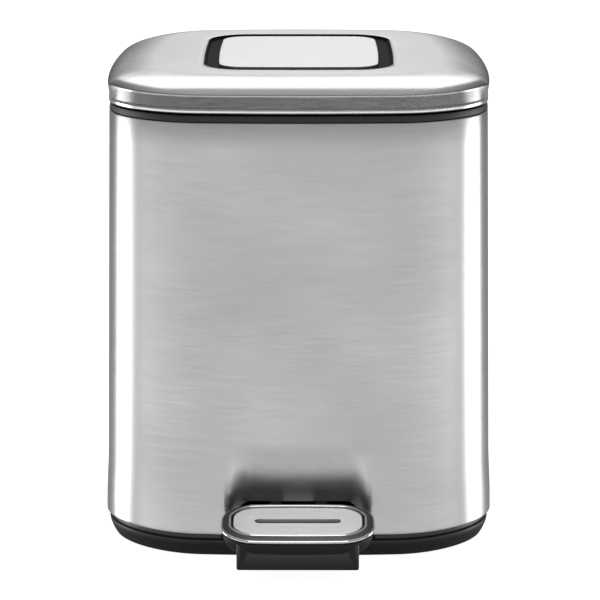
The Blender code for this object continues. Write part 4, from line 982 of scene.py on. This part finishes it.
class BIN_OT_lid(BinOperator, bpy.types.Operator):
    """Build the pressed steel lid with its rolled hem"""

    bl_idname = "bin.lid"
    bl_label = "Steel lid"

    wall_steps: bpy.props.IntProperty(name="Wall", description="Rows up the wall", default=8)
    shoulder_steps: bpy.props.IntProperty(name="Shoulder", description="Rows up the shoulder", default=36)
    crown_steps: bpy.props.IntProperty(name="Crown", description="Rows from shoulder to inlay", default=8)
    wall_step: length("Wall step", "How far the wall stands back where it leaves the hem", 0.0004)
    tuck_from: angle("Tuck from", "Turn round a corner where the side walls' tuck starts", 74.0)
    tuck_over: angle("Tuck over", "Turn over which it grows", 16.0)

    def rows(self, m, lid):
        """(outset, z, share of the crown's slope, share of the lean) from inside the hem to the crown."""
        radius = lid.hem_radius
        band_top = m.hem + lid.hem_height
        hem = arc(-radius, m.hem + radius, radius, -170, 0, 8)
        hem += arc(-radius / 2, band_top, radius / 2, 0, 90, 4)
        rows = [(outset, z, 0.0, 0.0) for outset, z in hem]
        foot = band_top + radius / 2 + 0.0001
        for step in range(self.wall_steps + 1):
            share = step / self.wall_steps
            rows.append((-self.wall_step * (1 - share), foot + (m.waist - foot) * share, 0.0, share))
        for step in range(1, self.shoulder_steps + 1):
            share = step / self.shoulder_steps
            turn = share * math.pi / 2
            z = m.waist + lid.rise * math.sin(turn) ** lid.shoulder_power
            rows.append((-lid.shoulder * (1 - math.cos(turn)), z, share, 1 - share))
        return rows

    def lean_in(self, point, m, lid, lean, tuck):
        """Leans the front and back walls in at the waist, and stands the side walls back above the hem."""
        corner = bpy.context.scene.bin_body.corner
        y = point.y - m.middle
        sideways = max(abs(point.x) - (m.lid_half_width - corner), 0.0)
        onward = max(abs(y) - (m.lid_half_depth - corner), 0.0)
        turn = math.atan2(sideways, onward)
        side = ease((turn - self.tuck_from) / self.tuck_over)
        inward = lid.lean * lean * (1 - side) + lid.hem_depth * tuck * side
        point.x -= math.copysign(inward * math.sin(turn), point.x)
        point.y -= math.copysign(inward * math.cos(turn), y)

    def build(self, scene):
        m = measures()
        lid = scene.bin_lid
        plan = lid_plan()
        rings = []
        for outset, z, share, lean in self.rows(m, lid):
            ring = plan.ring(outset, z)
            tuck = 1 - lean if z < m.waist else 0.0
            for point in ring:
                point.z += lid.slope * (point.y - m.middle) * share
                self.lean_in(point, m, lid, lean, tuck)
            rings.append(ring)
        edge = inlay_ring(lid.gap, 0.0)
        crown = rings[-1]
        for step in range(1, self.crown_steps + 1):
            rings.append([a.lerp(b, step / self.crown_steps) for a, b in zip(crown, edge)])
        for inward, drop in ((0.00015, 0.0001), (0.0002, 0.0003), (0.0002, 0.0008)):
            rings.append(inlay_ring(lid.gap - inward, -drop))
        shell = mesh_object("steel_lid", loft(rings), lid_steel)
        thicken(shell, scene.bin_body.sheet)
        place_piece(shell, "lid", "brushed_steel", "lid_shell")


def inlay_ring(outset, above):
    """A ring round the inlay at a height above the sloping crown."""
    m = measures()
    lid = bpy.context.scene.bin_lid
    plan = Plan(m.inlay_half_width, m.inlay_half_depth, lid.inlay_corner, lid.inlay_bow, m.middle)
    ring = plan.ring(outset, m.crown + above)
    for point in ring:
        point.z += lid.slope * (point.y - m.middle)
    return ring


def inlay_rings(section):
    return [inlay_ring(outset, above) for outset, above in section]


class BIN_OT_inlay(BinOperator, bpy.types.Operator):
    """Build the black surround and the steel panel let into the lid"""

    bl_idname = "bin.inlay"
    bl_label = "Lid inlay"

    lip_height: length("Lip height", "How far the surround's lip stands above the crown", 0.0003)
    lip_width: length("Lip width", "Width of that lip", 0.0009)
    surround_sheet: length("Surround thickness", "Thickness of the surround under the channel", 0.0014)
    ledge: length("Ledge", "How far the channel's floor reaches in under the panel", 0.0020)
    edge: length("Edge radius", "Radius of the edges of surround and panel", 0.0004)

    def build(self, scene):
        lid = scene.bin_lid
        floor = -lid.inlay_depth
        under = floor - self.surround_sheet
        channel_end = -lid.inlay_band - self.ledge
        section = [
            (0.0, under),
            (0.0, self.lip_height),
            (-self.lip_width, self.lip_height),
            (-self.lip_width - 0.0002, floor),
            (channel_end, floor),
            (channel_end, under),
        ]
        bm = loft(inlay_rings(rounded_section(section, self.edge)), join_ends=True)
        surround = mesh_object("inlay_surround", bm, surround_plastic)
        plate_edge = channel_end + 0.001
        join(surround, loft(inlay_rings([(plate_edge, under), (plate_edge, floor - 0.0001)]), True))
        place_piece(surround, "lid", "black_plastic", "lid_frame")
        edge = -lid.inlay_band
        section = [(edge, floor + lid.gap)]
        section += arc(edge - self.edge, -0.0002, self.edge, 0, 90, 6)
        section += [(edge - inward, 0.0002) for inward in (0.002, 0.010, 0.020)]
        panel = mesh_object("inlay_panel", loft(inlay_rings(section), True), panel_steel)
        place_piece(panel, "lid", "brushed_steel", "lid_plate")


class BIN_OT_lining(BinOperator, bpy.types.Operator):
    """Build the black lining inside the lid"""

    bl_idname = "bin.lining"
    bl_label = "Lid lining"

    wall: length("Wall", "Thickness of the lining", 0.0020)
    clearance: length("Clearance", "Room between the lining and the steel", 0.0014)
    shoulder: length("Shoulder", "Width of the lining's rounded shoulder", 0.0180)
    shoulder_drop: length("Shoulder drop", "How far that shoulder starts below the lid's waist", 0.0030)

    def build(self, scene):
        low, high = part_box("lid_liner")
        side = scene.bin_body.sheet + self.clearance
        waist = measures().waist - self.shoulder_drop
        rows = [(-side, low.z)]
        rows += arc(-side - self.shoulder, waist, self.shoulder, 0, 90, 16, high.z - waist)
        plan = lid_plan()
        bm = loft([plan.ring(outset, z) for outset, z in rows])
        top = [edge for edge in bm.edges if edge.is_boundary and edge.verts[0].co.z > waist]
        bmesh.ops.contextual_create(bm, geom=top)
        lining = mesh_object("lid_lining", bm, collar_plastic)
        thicken(lining, self.wall)
        place_piece(lining, "lid", "black_plastic", "lid_liner")


def tilt_pedal(bm):
    """Turns a piece drawn flat about the origin to the pedal's slope and place."""
    pedal = bpy.context.scene.bin_pedal
    place = (0, measures().front - pedal.reach, pedal.height)
    turn = Matrix.Rotation(pedal.slope, 4, "X")
    bmesh.ops.transform(bm, matrix=Matrix.Translation(place) @ turn, verts=bm.verts)
    return bm


def tread_plan():
    """The tread's outline; the rim stands outside it."""
    pedal = bpy.context.scene.bin_pedal
    half_width, half_length = pedal.half_width - pedal.rim, pedal.half_length - pedal.rim
    return Plan(half_width, half_length, pedal.corner - pedal.rim, pedal.tread_bow)


class BIN_OT_pedal_rim(BinOperator, bpy.types.Operator):
    """Build the pedal's rim: polished outer edge, dark satin bevel and a raised inner lip"""

    bl_idname = "bin.pedal_rim"
    bl_label = "Pedal rim"

    outer_radius: length("Outer radius", "Radius of the polished outer edge", 0.0010)
    lip_radius: length("Lip radius", "Radius of the raised inner lip", 0.0005)

    def build(self, scene):
        pedal = scene.bin_pedal
        outer = pedal.rim - self.outer_radius
        section = [(0.0, -pedal.under), (outer, -pedal.under)]
        section += arc(outer, -0.0013, self.outer_radius, -80, 90, 10)
        polished_to = len(section) - 1
        section += [(outer - 0.0003, -0.0006), (0.0016, 0.0007)]
        # this band of the rim takes the bevel's dark colour, a painted reflection
        painted_reflection_to = len(section) - 1
        section += arc(0.0009, 0.0006, self.lip_radius, 20, 180, 6)
        section.append((0.0004, -0.0004))
        finishes = [int(polished_to <= index < painted_reflection_to) for index in range(len(section))]
        bm = tilt_pedal(ringed(tread_plan(), section, finishes))
        ring = mesh_object("pedal_rim", bm, polished_steel, rim_bevel_painted_reflection)
        place_piece(ring, "pedal", "polished_steel", "pedal_ring")


class BIN_OT_tread(BinOperator, bpy.types.Operator):
    """Build the brushed tread with its slot"""

    bl_idname = "bin.tread"
    bl_label = "Pedal tread"

    clearance: length("Clearance", "Room between the tread and the rim's lip", 0.0008)
    edge: length("Edge radius", "Radius of the tread's edge", 0.0004)

    def build(self, scene):
        pedal = scene.bin_pedal
        section = [(-self.clearance, -pedal.under / 2)]
        section += arc(-self.clearance - self.edge, 0.0001, self.edge, 0, 90, 6)
        tread = mesh_object("pedal_tread", tilt_pedal(stacked(tread_plan(), section)), tread_steel)
        half_width = pedal.slot_half_width
        slot = Plan(pedal.slot_half_length, half_width, half_width, sides=(1, 1, 1, 1))
        cut(tread, tilt_pedal(stacked(slot, [(0, -CUT_MARGIN), (0, CUT_MARGIN)])))
        place_piece(tread, "pedal", "brushed_steel", "pedal_plate")


class BIN_OT_pedal_moulding(BinOperator, bpy.types.Operator):
    """Build the black cup and block under the pedal's rim"""

    bl_idname = "bin.pedal_moulding"
    bl_label = "Pedal moulding"

    cup_width: length("Cup width", "Width of the cup's rounded side", 0.0074)
    cup_depth: length("Cup depth", "Depth of the cup below the rim", 0.0098)
    wall: length("Block wall", "Thickness of the block's walls", 0.0028)
    block_corner: length("Block corner", "Radius of the block's upright edges", 0.0016)
    lever_gap: length("Lever gap", "Room round the lever in its groove", 0.0004)

    def build(self, scene):
        m = measures()
        pedal = scene.bin_pedal
        top = -pedal.under - scene.bin_lid.gap
        section = arc(pedal.rim - 0.0080, top, self.cup_width, -90, 0, 10, self.cup_depth)
        cup = mesh_object("pedal_moulding", tilt_pedal(stacked(tread_plan(), section)), black_plastic)
        front = m.front - pedal.block_front
        back = m.front - pedal.block_back
        join(cup, self.block(pedal, front, back))
        lever_low, lever_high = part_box("pedal_lever")
        lever_z = (lever_low.z + lever_high.z) / 2
        half = pedal.block_half_width - self.wall
        past = back + 2 * CUT_MARGIN
        cut(cup, box((-half, front + self.wall, 0), (half, past, lever_z - 0.0023)))
        groove = lever_high.x + self.lever_gap
        groove_front = lever_low.y - self.lever_gap
        cut(cup, box((-groove, groove_front, 0.0100), (groove, past, lever_z + 0.0019)))
        place_piece(cup, "pedal", "black_plastic", "pedal_cup")

    def block(self, pedal, front, back):
        """The upright block, cut off along the slope of the cup's inside."""
        low = pedal.block_bottom
        half_depth, middle = (back - front) / 2, (back + front) / 2
        plan = Plan(pedal.block_half_width, half_depth, self.block_corner, 0.0, middle, (4, 4, 4, 4))
        rows = [(-0.0009, low), (-0.0003, low + 0.0002), (0, low + 0.0008), (0, pedal.height + 0.02)]
        block = mesh_object("block", stacked(plan, rows))
        cut(block, tilt_pedal(box((-0.06, -0.06, -0.0040), (0.06, 0.06, 0.05))))
        bm = bmesh.new()
        bm.from_mesh(block.data)
        bpy.data.objects.remove(block, do_unlink=True)
        return bm


class BIN_OT_bucket(BinOperator, bpy.types.Operator):
    """Build the lift-out bucket with its flat rim and the lugs for its bail"""

    bl_idname = "bin.bucket"
    bl_label = "Inner bucket"

    rim: length("Rim", "Width of the flat rim", 0.0035)
    draft: length("Draft", "How much narrower the bucket is at its foot", 0.0075)
    wall: length("Wall", "Thickness of the wall", 0.0018)
    foot_height: length("Foot height", "Height of the rounding at the foot", 0.0060)
    lug_radius: length("Lug radius", "Radius of a lug round the bail's end", 0.0034)
    lug_foot: length("Lug foot", "Half the length of a lug's foot", 0.0060)
    lug_drop: length("Lug drop", "How far a lug's foot lies below the rim", 0.0120)
    lug_width: length("Lug width", "Thickness of a lug", 0.0032)
    lug_inset: length("Lug inset", "From the bail's outside to a lug's outer face", 0.0044)
    lug_bore: length("Lug bore", "Radius of the hole for the bail's end", 0.0018)

    def build(self, scene):
        body = scene.bin_body
        gap = scene.bin_lid.gap
        low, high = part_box("inner_bucket")
        bail_low, bail_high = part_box("bucket_bail")
        middle = (high.y + low.y) / 2
        corner = body.corner - body.collar_recess - body.collar_width
        plan = Plan(high.x + gap, (high.y - low.y) / 2 + gap, corner, body.bow, middle)
        rim_top = bail_low.z - 0.0007
        section = self.section(low.z, rim_top - self.wall, gap)
        bm = loft([plan.ring(outset, z) for outset, z in section])
        bottom = [edge for edge in bm.edges if edge.is_boundary and edge.verts[0].co.z < low.z + 0.0001]
        bmesh.ops.contextual_create(bm, geom=bottom)
        bucket = mesh_object("bucket", bm, grey_plastic)
        thicken(bucket, self.wall, 1.0)
        self.add_lugs(bucket, middle, (bail_low.z + bail_high.z) / 2, bail_high.x, rim_top)
        place_piece(bucket, "bucket", "grey_plastic", "inner_bucket")

    def section(self, low, rim, gap):
        """(outset, z) up the inside of the wall, from the rounded foot to the flat rim."""
        foot = -self.rim - self.draft
        rows = [
            (foot - 0.0060, low),
            (foot - 0.0035, low + 0.0004),
            (foot - 0.0015, low + 0.0015),
            (foot - 0.0004, low + 0.0034),
            (foot, low + self.foot_height),
        ]
        wall = rim - 0.0086 - low
        for step in range(1, 9):
            rows.append((foot + self.draft * step / 8, low + self.foot_height + wall * step / 8))
        rows += [(-self.rim + 0.0006, rim - 0.0006), (-self.rim + 0.0016, rim), (-gap, rim)]
        return rows

    def add_lugs(self, bucket, middle, bail_z, bail_x, rim_top):
        """The two lugs that take the bail's ends."""
        outer = bail_x - self.lug_inset
        foot = rim_top - self.lug_drop
        points = [(middle + self.lug_foot, foot)]
        points += arc(middle, bail_z, self.lug_radius, 0, 180, 16)
        points.append((middle - self.lug_foot, foot))
        for side in (-1, 1):
            near, far = sorted((side * outer, side * (outer - self.lug_width)))
            join(bucket, across(points, near, far))
            inside, outside = side * (outer - 0.008), side * (outer + 0.005)
            cut(bucket, rod((inside, middle, bail_z), (outside, middle, bail_z), self.lug_bore))


class BIN_OT_bail(BinOperator, bpy.types.Operator):
    """Build the bucket's wire bail"""

    bl_idname = "bin.bail"
    bl_label = "Bucket bail"

    bend: length("Bend", "Radius of the bend where each end turns into its lug", 0.0016)
    end_inset: length("End inset", "How far each end stops inside the bail's side", 0.0072)
    corner_inset: length("Corner inset", "How much tighter its corners are than the bucket's", 0.00175)

    def path(self, body, half, reach, radius):
        """(x, y) from one end, round the front, to the other end, about the bail's own axis."""
        corner = body.corner - body.collar_recess - body.collar_width - self.corner_inset
        outline = rounded_outline(half, reach, corner, body.bow, (1, 1, 14, 1))
        ahead = [spot for spot in outline if spot[1] < -0.02]
        front = sorted(ahead, key=lambda spot: math.atan2(spot[0], -spot[1]))
        bend = self.bend
        end = half - radius - self.end_inset
        first = [(-end, 0), (-half + bend, 0), (-half + bend * 0.3, -bend * 0.3), (-half, -bend)]
        return first + front + [(-x, y) for x, y in reversed(first)]

    def build(self, scene):
        low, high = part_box("bucket_bail")
        bucket_low, bucket_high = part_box("inner_bucket")
        radius = (high.z - low.z) / 2
        middle = (bucket_high.y + bucket_low.y) / 2
        path = self.path(scene.bin_body, high.x - radius, middle - low.y - radius, radius)
        curve = bpy.data.curves.new("bucket_handle", "CURVE")
        curve.dimensions = "3D"
        curve.bevel_depth = radius
        curve.bevel_resolution = 5
        curve.use_fill_caps = True
        spline = curve.splines.new("POLY")
        spline.points.add(len(path) - 1)
        for point, (x, y) in zip(spline.points, path):
            point.co = (x, y + middle, (low.z + high.z) / 2, 1)
        spline.use_smooth = True
        curve.materials.append(polished_steel())
        bail = bpy.data.objects.new("bucket_handle", curve)
        scene.collection.objects.link(bail)
        place_piece(bail, "bail", "polished_steel", "bucket_bail")


# each kind of screw: how many, the body they ride on, and which way their heads face
SCREWS = {
    "base_screw": (4, "root", (0, 0, -1)),
    "bracket_screw": (2, "root", (0, 1, 0)),
    "lid_screw": (4, "lid", (0, 0, -1)),
    "arm_screw": (2, "lid", (0, 0, -1)),
    "pedal_screw": (2, "pedal", (0, 0, -1)),
}


class BIN_OT_screws(BinOperator, bpy.types.Operator):
    """Build the pan-head screws with their cross recesses"""

    bl_idname = "bin.screws"
    bl_label = "Screws"

    head_radius: length("Head radius", "Radius of the screw's head", 0.0030)
    head_height: length("Head height", "Height of the head", 0.0012)
    shank_radius: length("Shank radius", "Radius of the shank", 0.0011)
    recess_length: length("Recess length", "Half the length of each stroke of the cross", 0.0014)
    recess_width: length("Recess width", "Half the width of each stroke", 0.00032)
    recess_depth: length("Recess depth", "Depth of the cross", 0.0008)

    def build(self, scene):
        for kind, (count, body, facing) in SCREWS.items():
            for index in range(1, count + 1):
                self.add_screw(f"{kind}_{index}", body, Vector(facing))

    def add_screw(self, node, body, facing):
        low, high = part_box(node)
        along_y = facing.y != 0
        span = high.y - low.y if along_y else high.z - low.z
        head = (low + high) / 2 + facing * (span / 2 - self.head_height)
        radius, height, shank = self.head_radius, self.head_height, self.shank_radius
        profile = [(ON_AXIS, height)]
        profile += arc(radius * 0.55, height * 0.35, radius * 0.45, 90, 0, 6, height * 0.65)
        profile += [(radius, 0), (shank, 0), (shank, height - span + shank), (ON_AXIS, height - span)]
        screw = mesh_object("pan_" + node, turned(profile, head, facing, 28), zinc_plate)
        top = head + facing * height
        strokes = (self.recess_width, self.recess_length), (self.recess_length, self.recess_width)
        for wide, tall in strokes:
            half = Vector((wide, self.recess_depth, tall) if along_y else (wide, tall, self.recess_depth))
            cut(screw, box(top - half, top + half))
        place_piece(screw, body, "zinc_steel", node)


class BIN_OT_small_rubber(BinOperator, bpy.types.Operator):
    """Build the rubber feet, the lid's bumpers and the caps on the hinge pin"""

    bl_idname = "bin.small_rubber"
    bl_label = "Feet, bumpers and caps"

    def build(self, scene):
        for index in range(1, 5):
            self.add_foot(index)
        for index in (1, 2):
            self.add_bumper(index)
        for index, side in ((1, -1), (2, 1)):
            self.add_cap(index, side)

    def add_foot(self, index):
        """A round foot with a dished sole and a peg that holds it in the base."""
        low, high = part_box(f"rubber_foot_{index}")
        radius = (high.x - low.x) / 2
        sole = [(ON_AXIS, 0.0004), (0.0040, 0.0004), (0.0046, 0), (radius - 0.0006, 0)]
        rim = [(radius - 0.0002, 0.0003), (radius, 0.0008), (radius, 0.0017)]
        peg = [(0.0020, 0.0017), (0.0020, 0.0040), (0.0012, high.z), (ON_AXIS, high.z)]
        bm = turned(sole + rim + peg, bottom_middle(low, high), (0, 0, 1))
        foot = mesh_object(f"foot_{index}", bm, rubber)
        place_piece(foot, "root", "black_rubber", f"rubber_foot_{index}")

    def add_bumper(self, index):
        """A small stop with a round top on a thin peg."""
        low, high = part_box(f"lid_bumper_{index}")
        span = high.z - low.z
        top = [(ON_AXIS, span), (0.0012, span), (0.0018, span - 0.0002), (0.0022, span - 0.0005)]
        peg = [(0.0022, 0.0028), (0.0011, 0.0028), (0.0011, 0), (ON_AXIS, 0)]
        bm = turned(top + peg, bottom_middle(low, high), (0, 0, 1))
        stop = mesh_object(f"bumper_{index}", bm, rubber)
        place_piece(stop, "root", "black_rubber", f"lid_bumper_{index}")

    def add_cap(self, index, side):
        """A domed cap, open on the side where the pin enters."""
        low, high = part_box(f"hinge_cap_{index}")
        middle = (low + high) / 2
        depth = high.x - low.x
        radius = (high.z - low.z) / 2
        bore = 0.0018
        place = (middle.x - side * depth / 2, middle.y, middle.z)
        profile = [(bore, 0), (radius, 0)]
        profile += arc(radius * 0.7, depth * 0.6, radius * 0.3, 0, 90, 6, depth * 0.4)
        profile += [(ON_AXIS, depth), (ON_AXIS, depth * 0.7), (bore, depth * 0.7)]
        cap = mesh_object(f"pin_cap_{index}", turned(profile, place, (side, 0, 0), 32), black_plastic)
        place_piece(cap, "root", "black_plastic", f"hinge_cap_{index}")


def bottom_middle(low, high):
    """The middle of a box's bottom face."""
    return Vector(((low.x + high.x) / 2, (low.y + high.y) / 2, low.z))


WELD = 0.00001


def soften_group():
    """Geometry nodes: welds a faceted mesh and shades it smooth except at its real edges."""
    tree = bpy.data.node_groups.new("soften", "GeometryNodeTree")
    tree.interface.new_socket(name="Geometry", in_out="INPUT", socket_type="NodeSocketGeometry")
    tree.interface.new_socket(name="Geometry", in_out="OUTPUT", socket_type="NodeSocketGeometry")
    given, made = tree.nodes.new("NodeGroupInput"), tree.nodes.new("NodeGroupOutput")
    weld = tree.nodes.new("GeometryNodeMergeByDistance")
    weld.inputs["Distance"].default_value = WELD
    faces = tree.nodes.new("GeometryNodeSetShadeSmooth")
    edges = tree.nodes.new("GeometryNodeSetShadeSmooth")
    edges.domain = "EDGE"
    edges.inputs["Shade Smooth"].default_value = False
    fold = tree.nodes.new("GeometryNodeInputMeshEdgeAngle")
    sharp = tree.nodes.new("FunctionNodeCompare")
    sharp.operation = "GREATER_THAN"
    sharp.inputs["B"].default_value = SOFT_EDGE
    tree.links.new(fold.outputs["Unsigned Angle"], sharp.inputs["A"])
    tree.links.new(sharp.outputs["Result"], edges.inputs["Selection"])
    for first, second in ((given, weld), (weld, faces), (faces, edges), (edges, made)):
        source = next(s for s in first.outputs if s.type == "GEOMETRY")
        target = next(s for s in second.inputs if s.type == "GEOMETRY")
        tree.links.new(source, target)
    return tree


# the frame's own parts that stay as they are: their finish, and the bevel on their edges
KEPT_NODES = {
    "bottom_cover": (black_plastic, 0.0004),
    "hinge_bracket": (black_plastic, 0.0004),
    "hinge_pin": (zinc_plate, 0.0002),
    "hinge_arm": (zinc_plate, 0.0003),
    "push_rod": (zinc_plate, 0.0),
    "rod_clip_bottom": (zinc_plate, 0.0001),
    "rod_clip_top": (zinc_plate, 0.0001),
    "rod_guide_lower": (grey_plastic, 0.0003),
    "rod_guide_upper": (grey_plastic, 0.0003),
    "lever_pin": (zinc_plate, 0.0002),
    "lever_clip_1": (zinc_plate, 0.0001),
    "lever_clip_2": (zinc_plate, 0.0001),
    "pedal_insert": (rubber, 0.0001),
    "pedal_lever": (zinc_plate, 0.0003),
}


class BIN_OT_kept_nodes(BinOperator, bpy.types.Operator):
    """Give the frame's own small parts their finishes and soft edges"""

    bl_idname = "bin.kept_nodes"
    bl_label = "Hinge, lever and rod"

    def build(self, scene):
        soften = soften_group()
        for name, (finish, bevel) in KEPT_NODES.items():
            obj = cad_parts[name]
            while len(obj.material_slots) > 1:
                obj.data.materials.pop()
            if obj.material_slots:
                obj.material_slots[0].material = finish()
            else:
                obj.data.materials.append(finish())
            step = obj.modifiers.new("soften", "NODES")
            step.node_group = soften
            if bevel:
                round_off = obj.modifiers.new("round_off", "BEVEL")
                round_off.width = bevel
                round_off.segments = 2
                round_off.limit_method = "ANGLE"
                round_off.angle_limit = SOFT_EDGE


# ---------------------------------------------------------------- studio


class BIN_OT_stage(BinOperator, bpy.types.Operator):
    """Build the pale floor, the soft studio light and the camera"""

    bl_idname = "bin.stage"
    bl_label = "Floor, lights and camera"

    def build(self, scene):
        studio = scene.bin_studio
        self.add_camera(scene, studio)
        self.add_floor(studio)
        self.add_lights(studio)
        self.add_surroundings(scene, studio)
        scene.view_settings.view_transform = "Standard"

    def add_camera(self, scene, studio):
        data = bpy.data.cameras.new("camera")
        data.lens = studio.lens
        data.sensor_width = 36.0
        data.shift_x = studio.camera_shift
        data.clip_start = 0.05
        data.clip_end = 60.0
        camera = bpy.data.objects.new("camera", data)
        camera.location = studio.camera_place
        camera.rotation_euler = (math.pi / 2 - studio.camera_down, 0, studio.camera_turn)
        scene.collection.objects.link(camera)
        scene.camera = camera

    def add_floor(self, studio):
        made = bpy.data.materials.new("pale_floor")
        made.use_nodes = True
        tree = made.node_tree
        shader = tree.nodes["Principled BSDF"]
        shader.inputs["Base Color"].default_value = (*studio.floor, 1)
        shader.inputs["Roughness"].default_value = 0.9
        shader.inputs["Specular IOR Level"].default_value = 0.1
        seen = tree.nodes.new("ShaderNodeLightPath").outputs["Is Camera Ray"]
        glow = math_node(tree, "MULTIPLY", seen, studio.floor_glow)
        shader.inputs["Emission Color"].default_value = (1, 1, 1, 1)
        tree.links.new(glow, shader.inputs["Emission Strength"])
        bm = bmesh.new()
        bmesh.ops.create_grid(bm, x_segments=8, y_segments=8, size=12.0)
        floor = mesh_object("floor", bm)
        floor.data.materials.append(made)
        floor.visible_glossy = False
        floor.visible_shadow = False

    def add_area(self, name, place, target, size_x, size_y, power):
        data = bpy.data.lights.new(name, "AREA")
        data.shape = "RECTANGLE"
        data.size = size_x
        data.size_y = size_y
        data.energy = power
        light = bpy.data.objects.new(name, data)
        light.location = place
        light.rotation_euler = (Vector(target) - Vector(place)).to_track_quat("-Z", "Y").to_euler()
        light.visible_camera = False
        bpy.context.scene.collection.objects.link(light)
        return light

    def add_lights(self, studio):
        turn = math.radians(109)
        for side, name in ((-1, "left_softbox"), (1, "right_softbox")):
            place = (side * math.sin(turn), -math.cos(turn), -0.06)
            self.add_area(name, place, (0, 0, -0.06), 0.42, 0.56, studio.side_light)
        self.add_area("top_softbox", (0, 1.04, 1.32), (0, 0, 0.24), 1.5, 1.09, studio.top_light)
        place, target = (0, -0.60, 1.10), (0, -0.11, 0.03)
        light = self.add_area("pedal_softbox", place, target, 0.8, 0.5, studio.pedal_light)
        lit = bpy.data.collections.new("lit_by_pedal_softbox")
        for name in ("pedal_tread", "pedal_rim"):
            lit.objects.link(bpy.data.objects[name])
        light.light_linking.receiver_collection = lit

    def add_surroundings(self, scene, studio):
        """A dim room with a low bright band in front and a narrow bright backdrop behind."""
        world = bpy.data.worlds.new("studio")
        scene.world = world
        world.use_nodes = True
        tree = world.node_tree
        sky = tree.nodes["Background"]
        split = tree.nodes.new("ShaderNodeSeparateXYZ")
        tree.links.new(tree.nodes.new("ShaderNodeTexCoord").outputs["Generated"], split.inputs["Vector"])
        x, y, z = split.outputs["X"], split.outputs["Y"], split.outputs["Z"]
        band = product(
            tree, spread(tree, z, -0.42, -0.33, 0, 1), spread(tree, z, -0.10, -0.05, 1, 0),
            spread(tree, y, -0.1, 0.25, 1, 0.12), studio.band_glow,
        )
        aside = math_node(tree, "ABSOLUTE", x, 0.0)
        backdrop = product(
            tree, spread(tree, y, 0.80, 0.88, 0, 1), spread(tree, z, 0.08, 0.19, 0, 1),
            spread(tree, aside, 0.02, 0.14, 1, 0.30), studio.backdrop_glow,
        )
        overhead = spread(tree, z, 0.25, 0.95, 0, studio.overhead_glow)
        room = math_node(tree, "ADD", band, studio.room_glow)
        for glow in (backdrop, overhead):
            room = math_node(tree, "ADD", glow, room)
        seen = tree.nodes.new("ShaderNodeLightPath").outputs["Is Camera Ray"]
        mix = tree.nodes.new("ShaderNodeMix")
        tree.links.new(seen, mix.inputs["Factor"])
        tree.links.new(room, mix.inputs["A"])
        mix.inputs["B"].default_value = 1.0
        tree.links.new(mix.outputs["Result"], sky.inputs["Strength"])
        sky.inputs["Color"].default_value = (1, 1, 1, 1)


# ---------------------------------------------------------------- add-on


SETTINGS = {
    "bin_body": BinBodySettings,
    "bin_lid": BinLidSettings,
    "bin_pedal": BinPedalSettings,
    "bin_finish": BinFinishSettings,
    "bin_studio": BinStudioSettings,
}
OPERATORS = (
    BIN_OT_skin,
    BIN_OT_collar,
    BIN_OT_base,
    BIN_OT_lid,
    BIN_OT_inlay,
    BIN_OT_lining,
    BIN_OT_pedal_rim,
    BIN_OT_tread,
    BIN_OT_pedal_moulding,
    BIN_OT_bucket,
    BIN_OT_bail,
    BIN_OT_screws,
    BIN_OT_small_rubber,
    BIN_OT_kept_nodes,
    BIN_OT_stage,
)


class BIN_PT_panel(bpy.types.Panel):
    """Lists the bin's pieces and their sizes"""

    bl_idname = "BIN_PT_panel"
    bl_label = "Pedal bin"
    bl_space_type = "VIEW_3D"
    bl_region_type = "UI"
    bl_category = "Pedal bin"

    def draw(self, context):
        for operator in OPERATORS:
            self.layout.operator(operator.bl_idname)
        for name, settings in SETTINGS.items():
            column = self.layout.column(heading=settings.__doc__)
            for key in settings.__annotations__:
                column.prop(getattr(context.scene, name), key)


def register():
    for made in (*SETTINGS.values(), *OPERATORS, BIN_PT_panel):
        bpy.utils.register_class(made)
    for name, settings in SETTINGS.items():
        setattr(bpy.types.Scene, name, bpy.props.PointerProperty(type=settings))


def unregister():
    for name in SETTINGS:
        delattr(bpy.types.Scene, name)
    for made in reversed((*SETTINGS.values(), *OPERATORS, BIN_PT_panel)):
        bpy.utils.unregister_class(made)


def main():
    register()
    for operator in OPERATORS:
        group, name = operator.bl_idname.split(".")
        getattr(getattr(bpy.ops, group), name)()


if __name__ == "__main__":
    main()
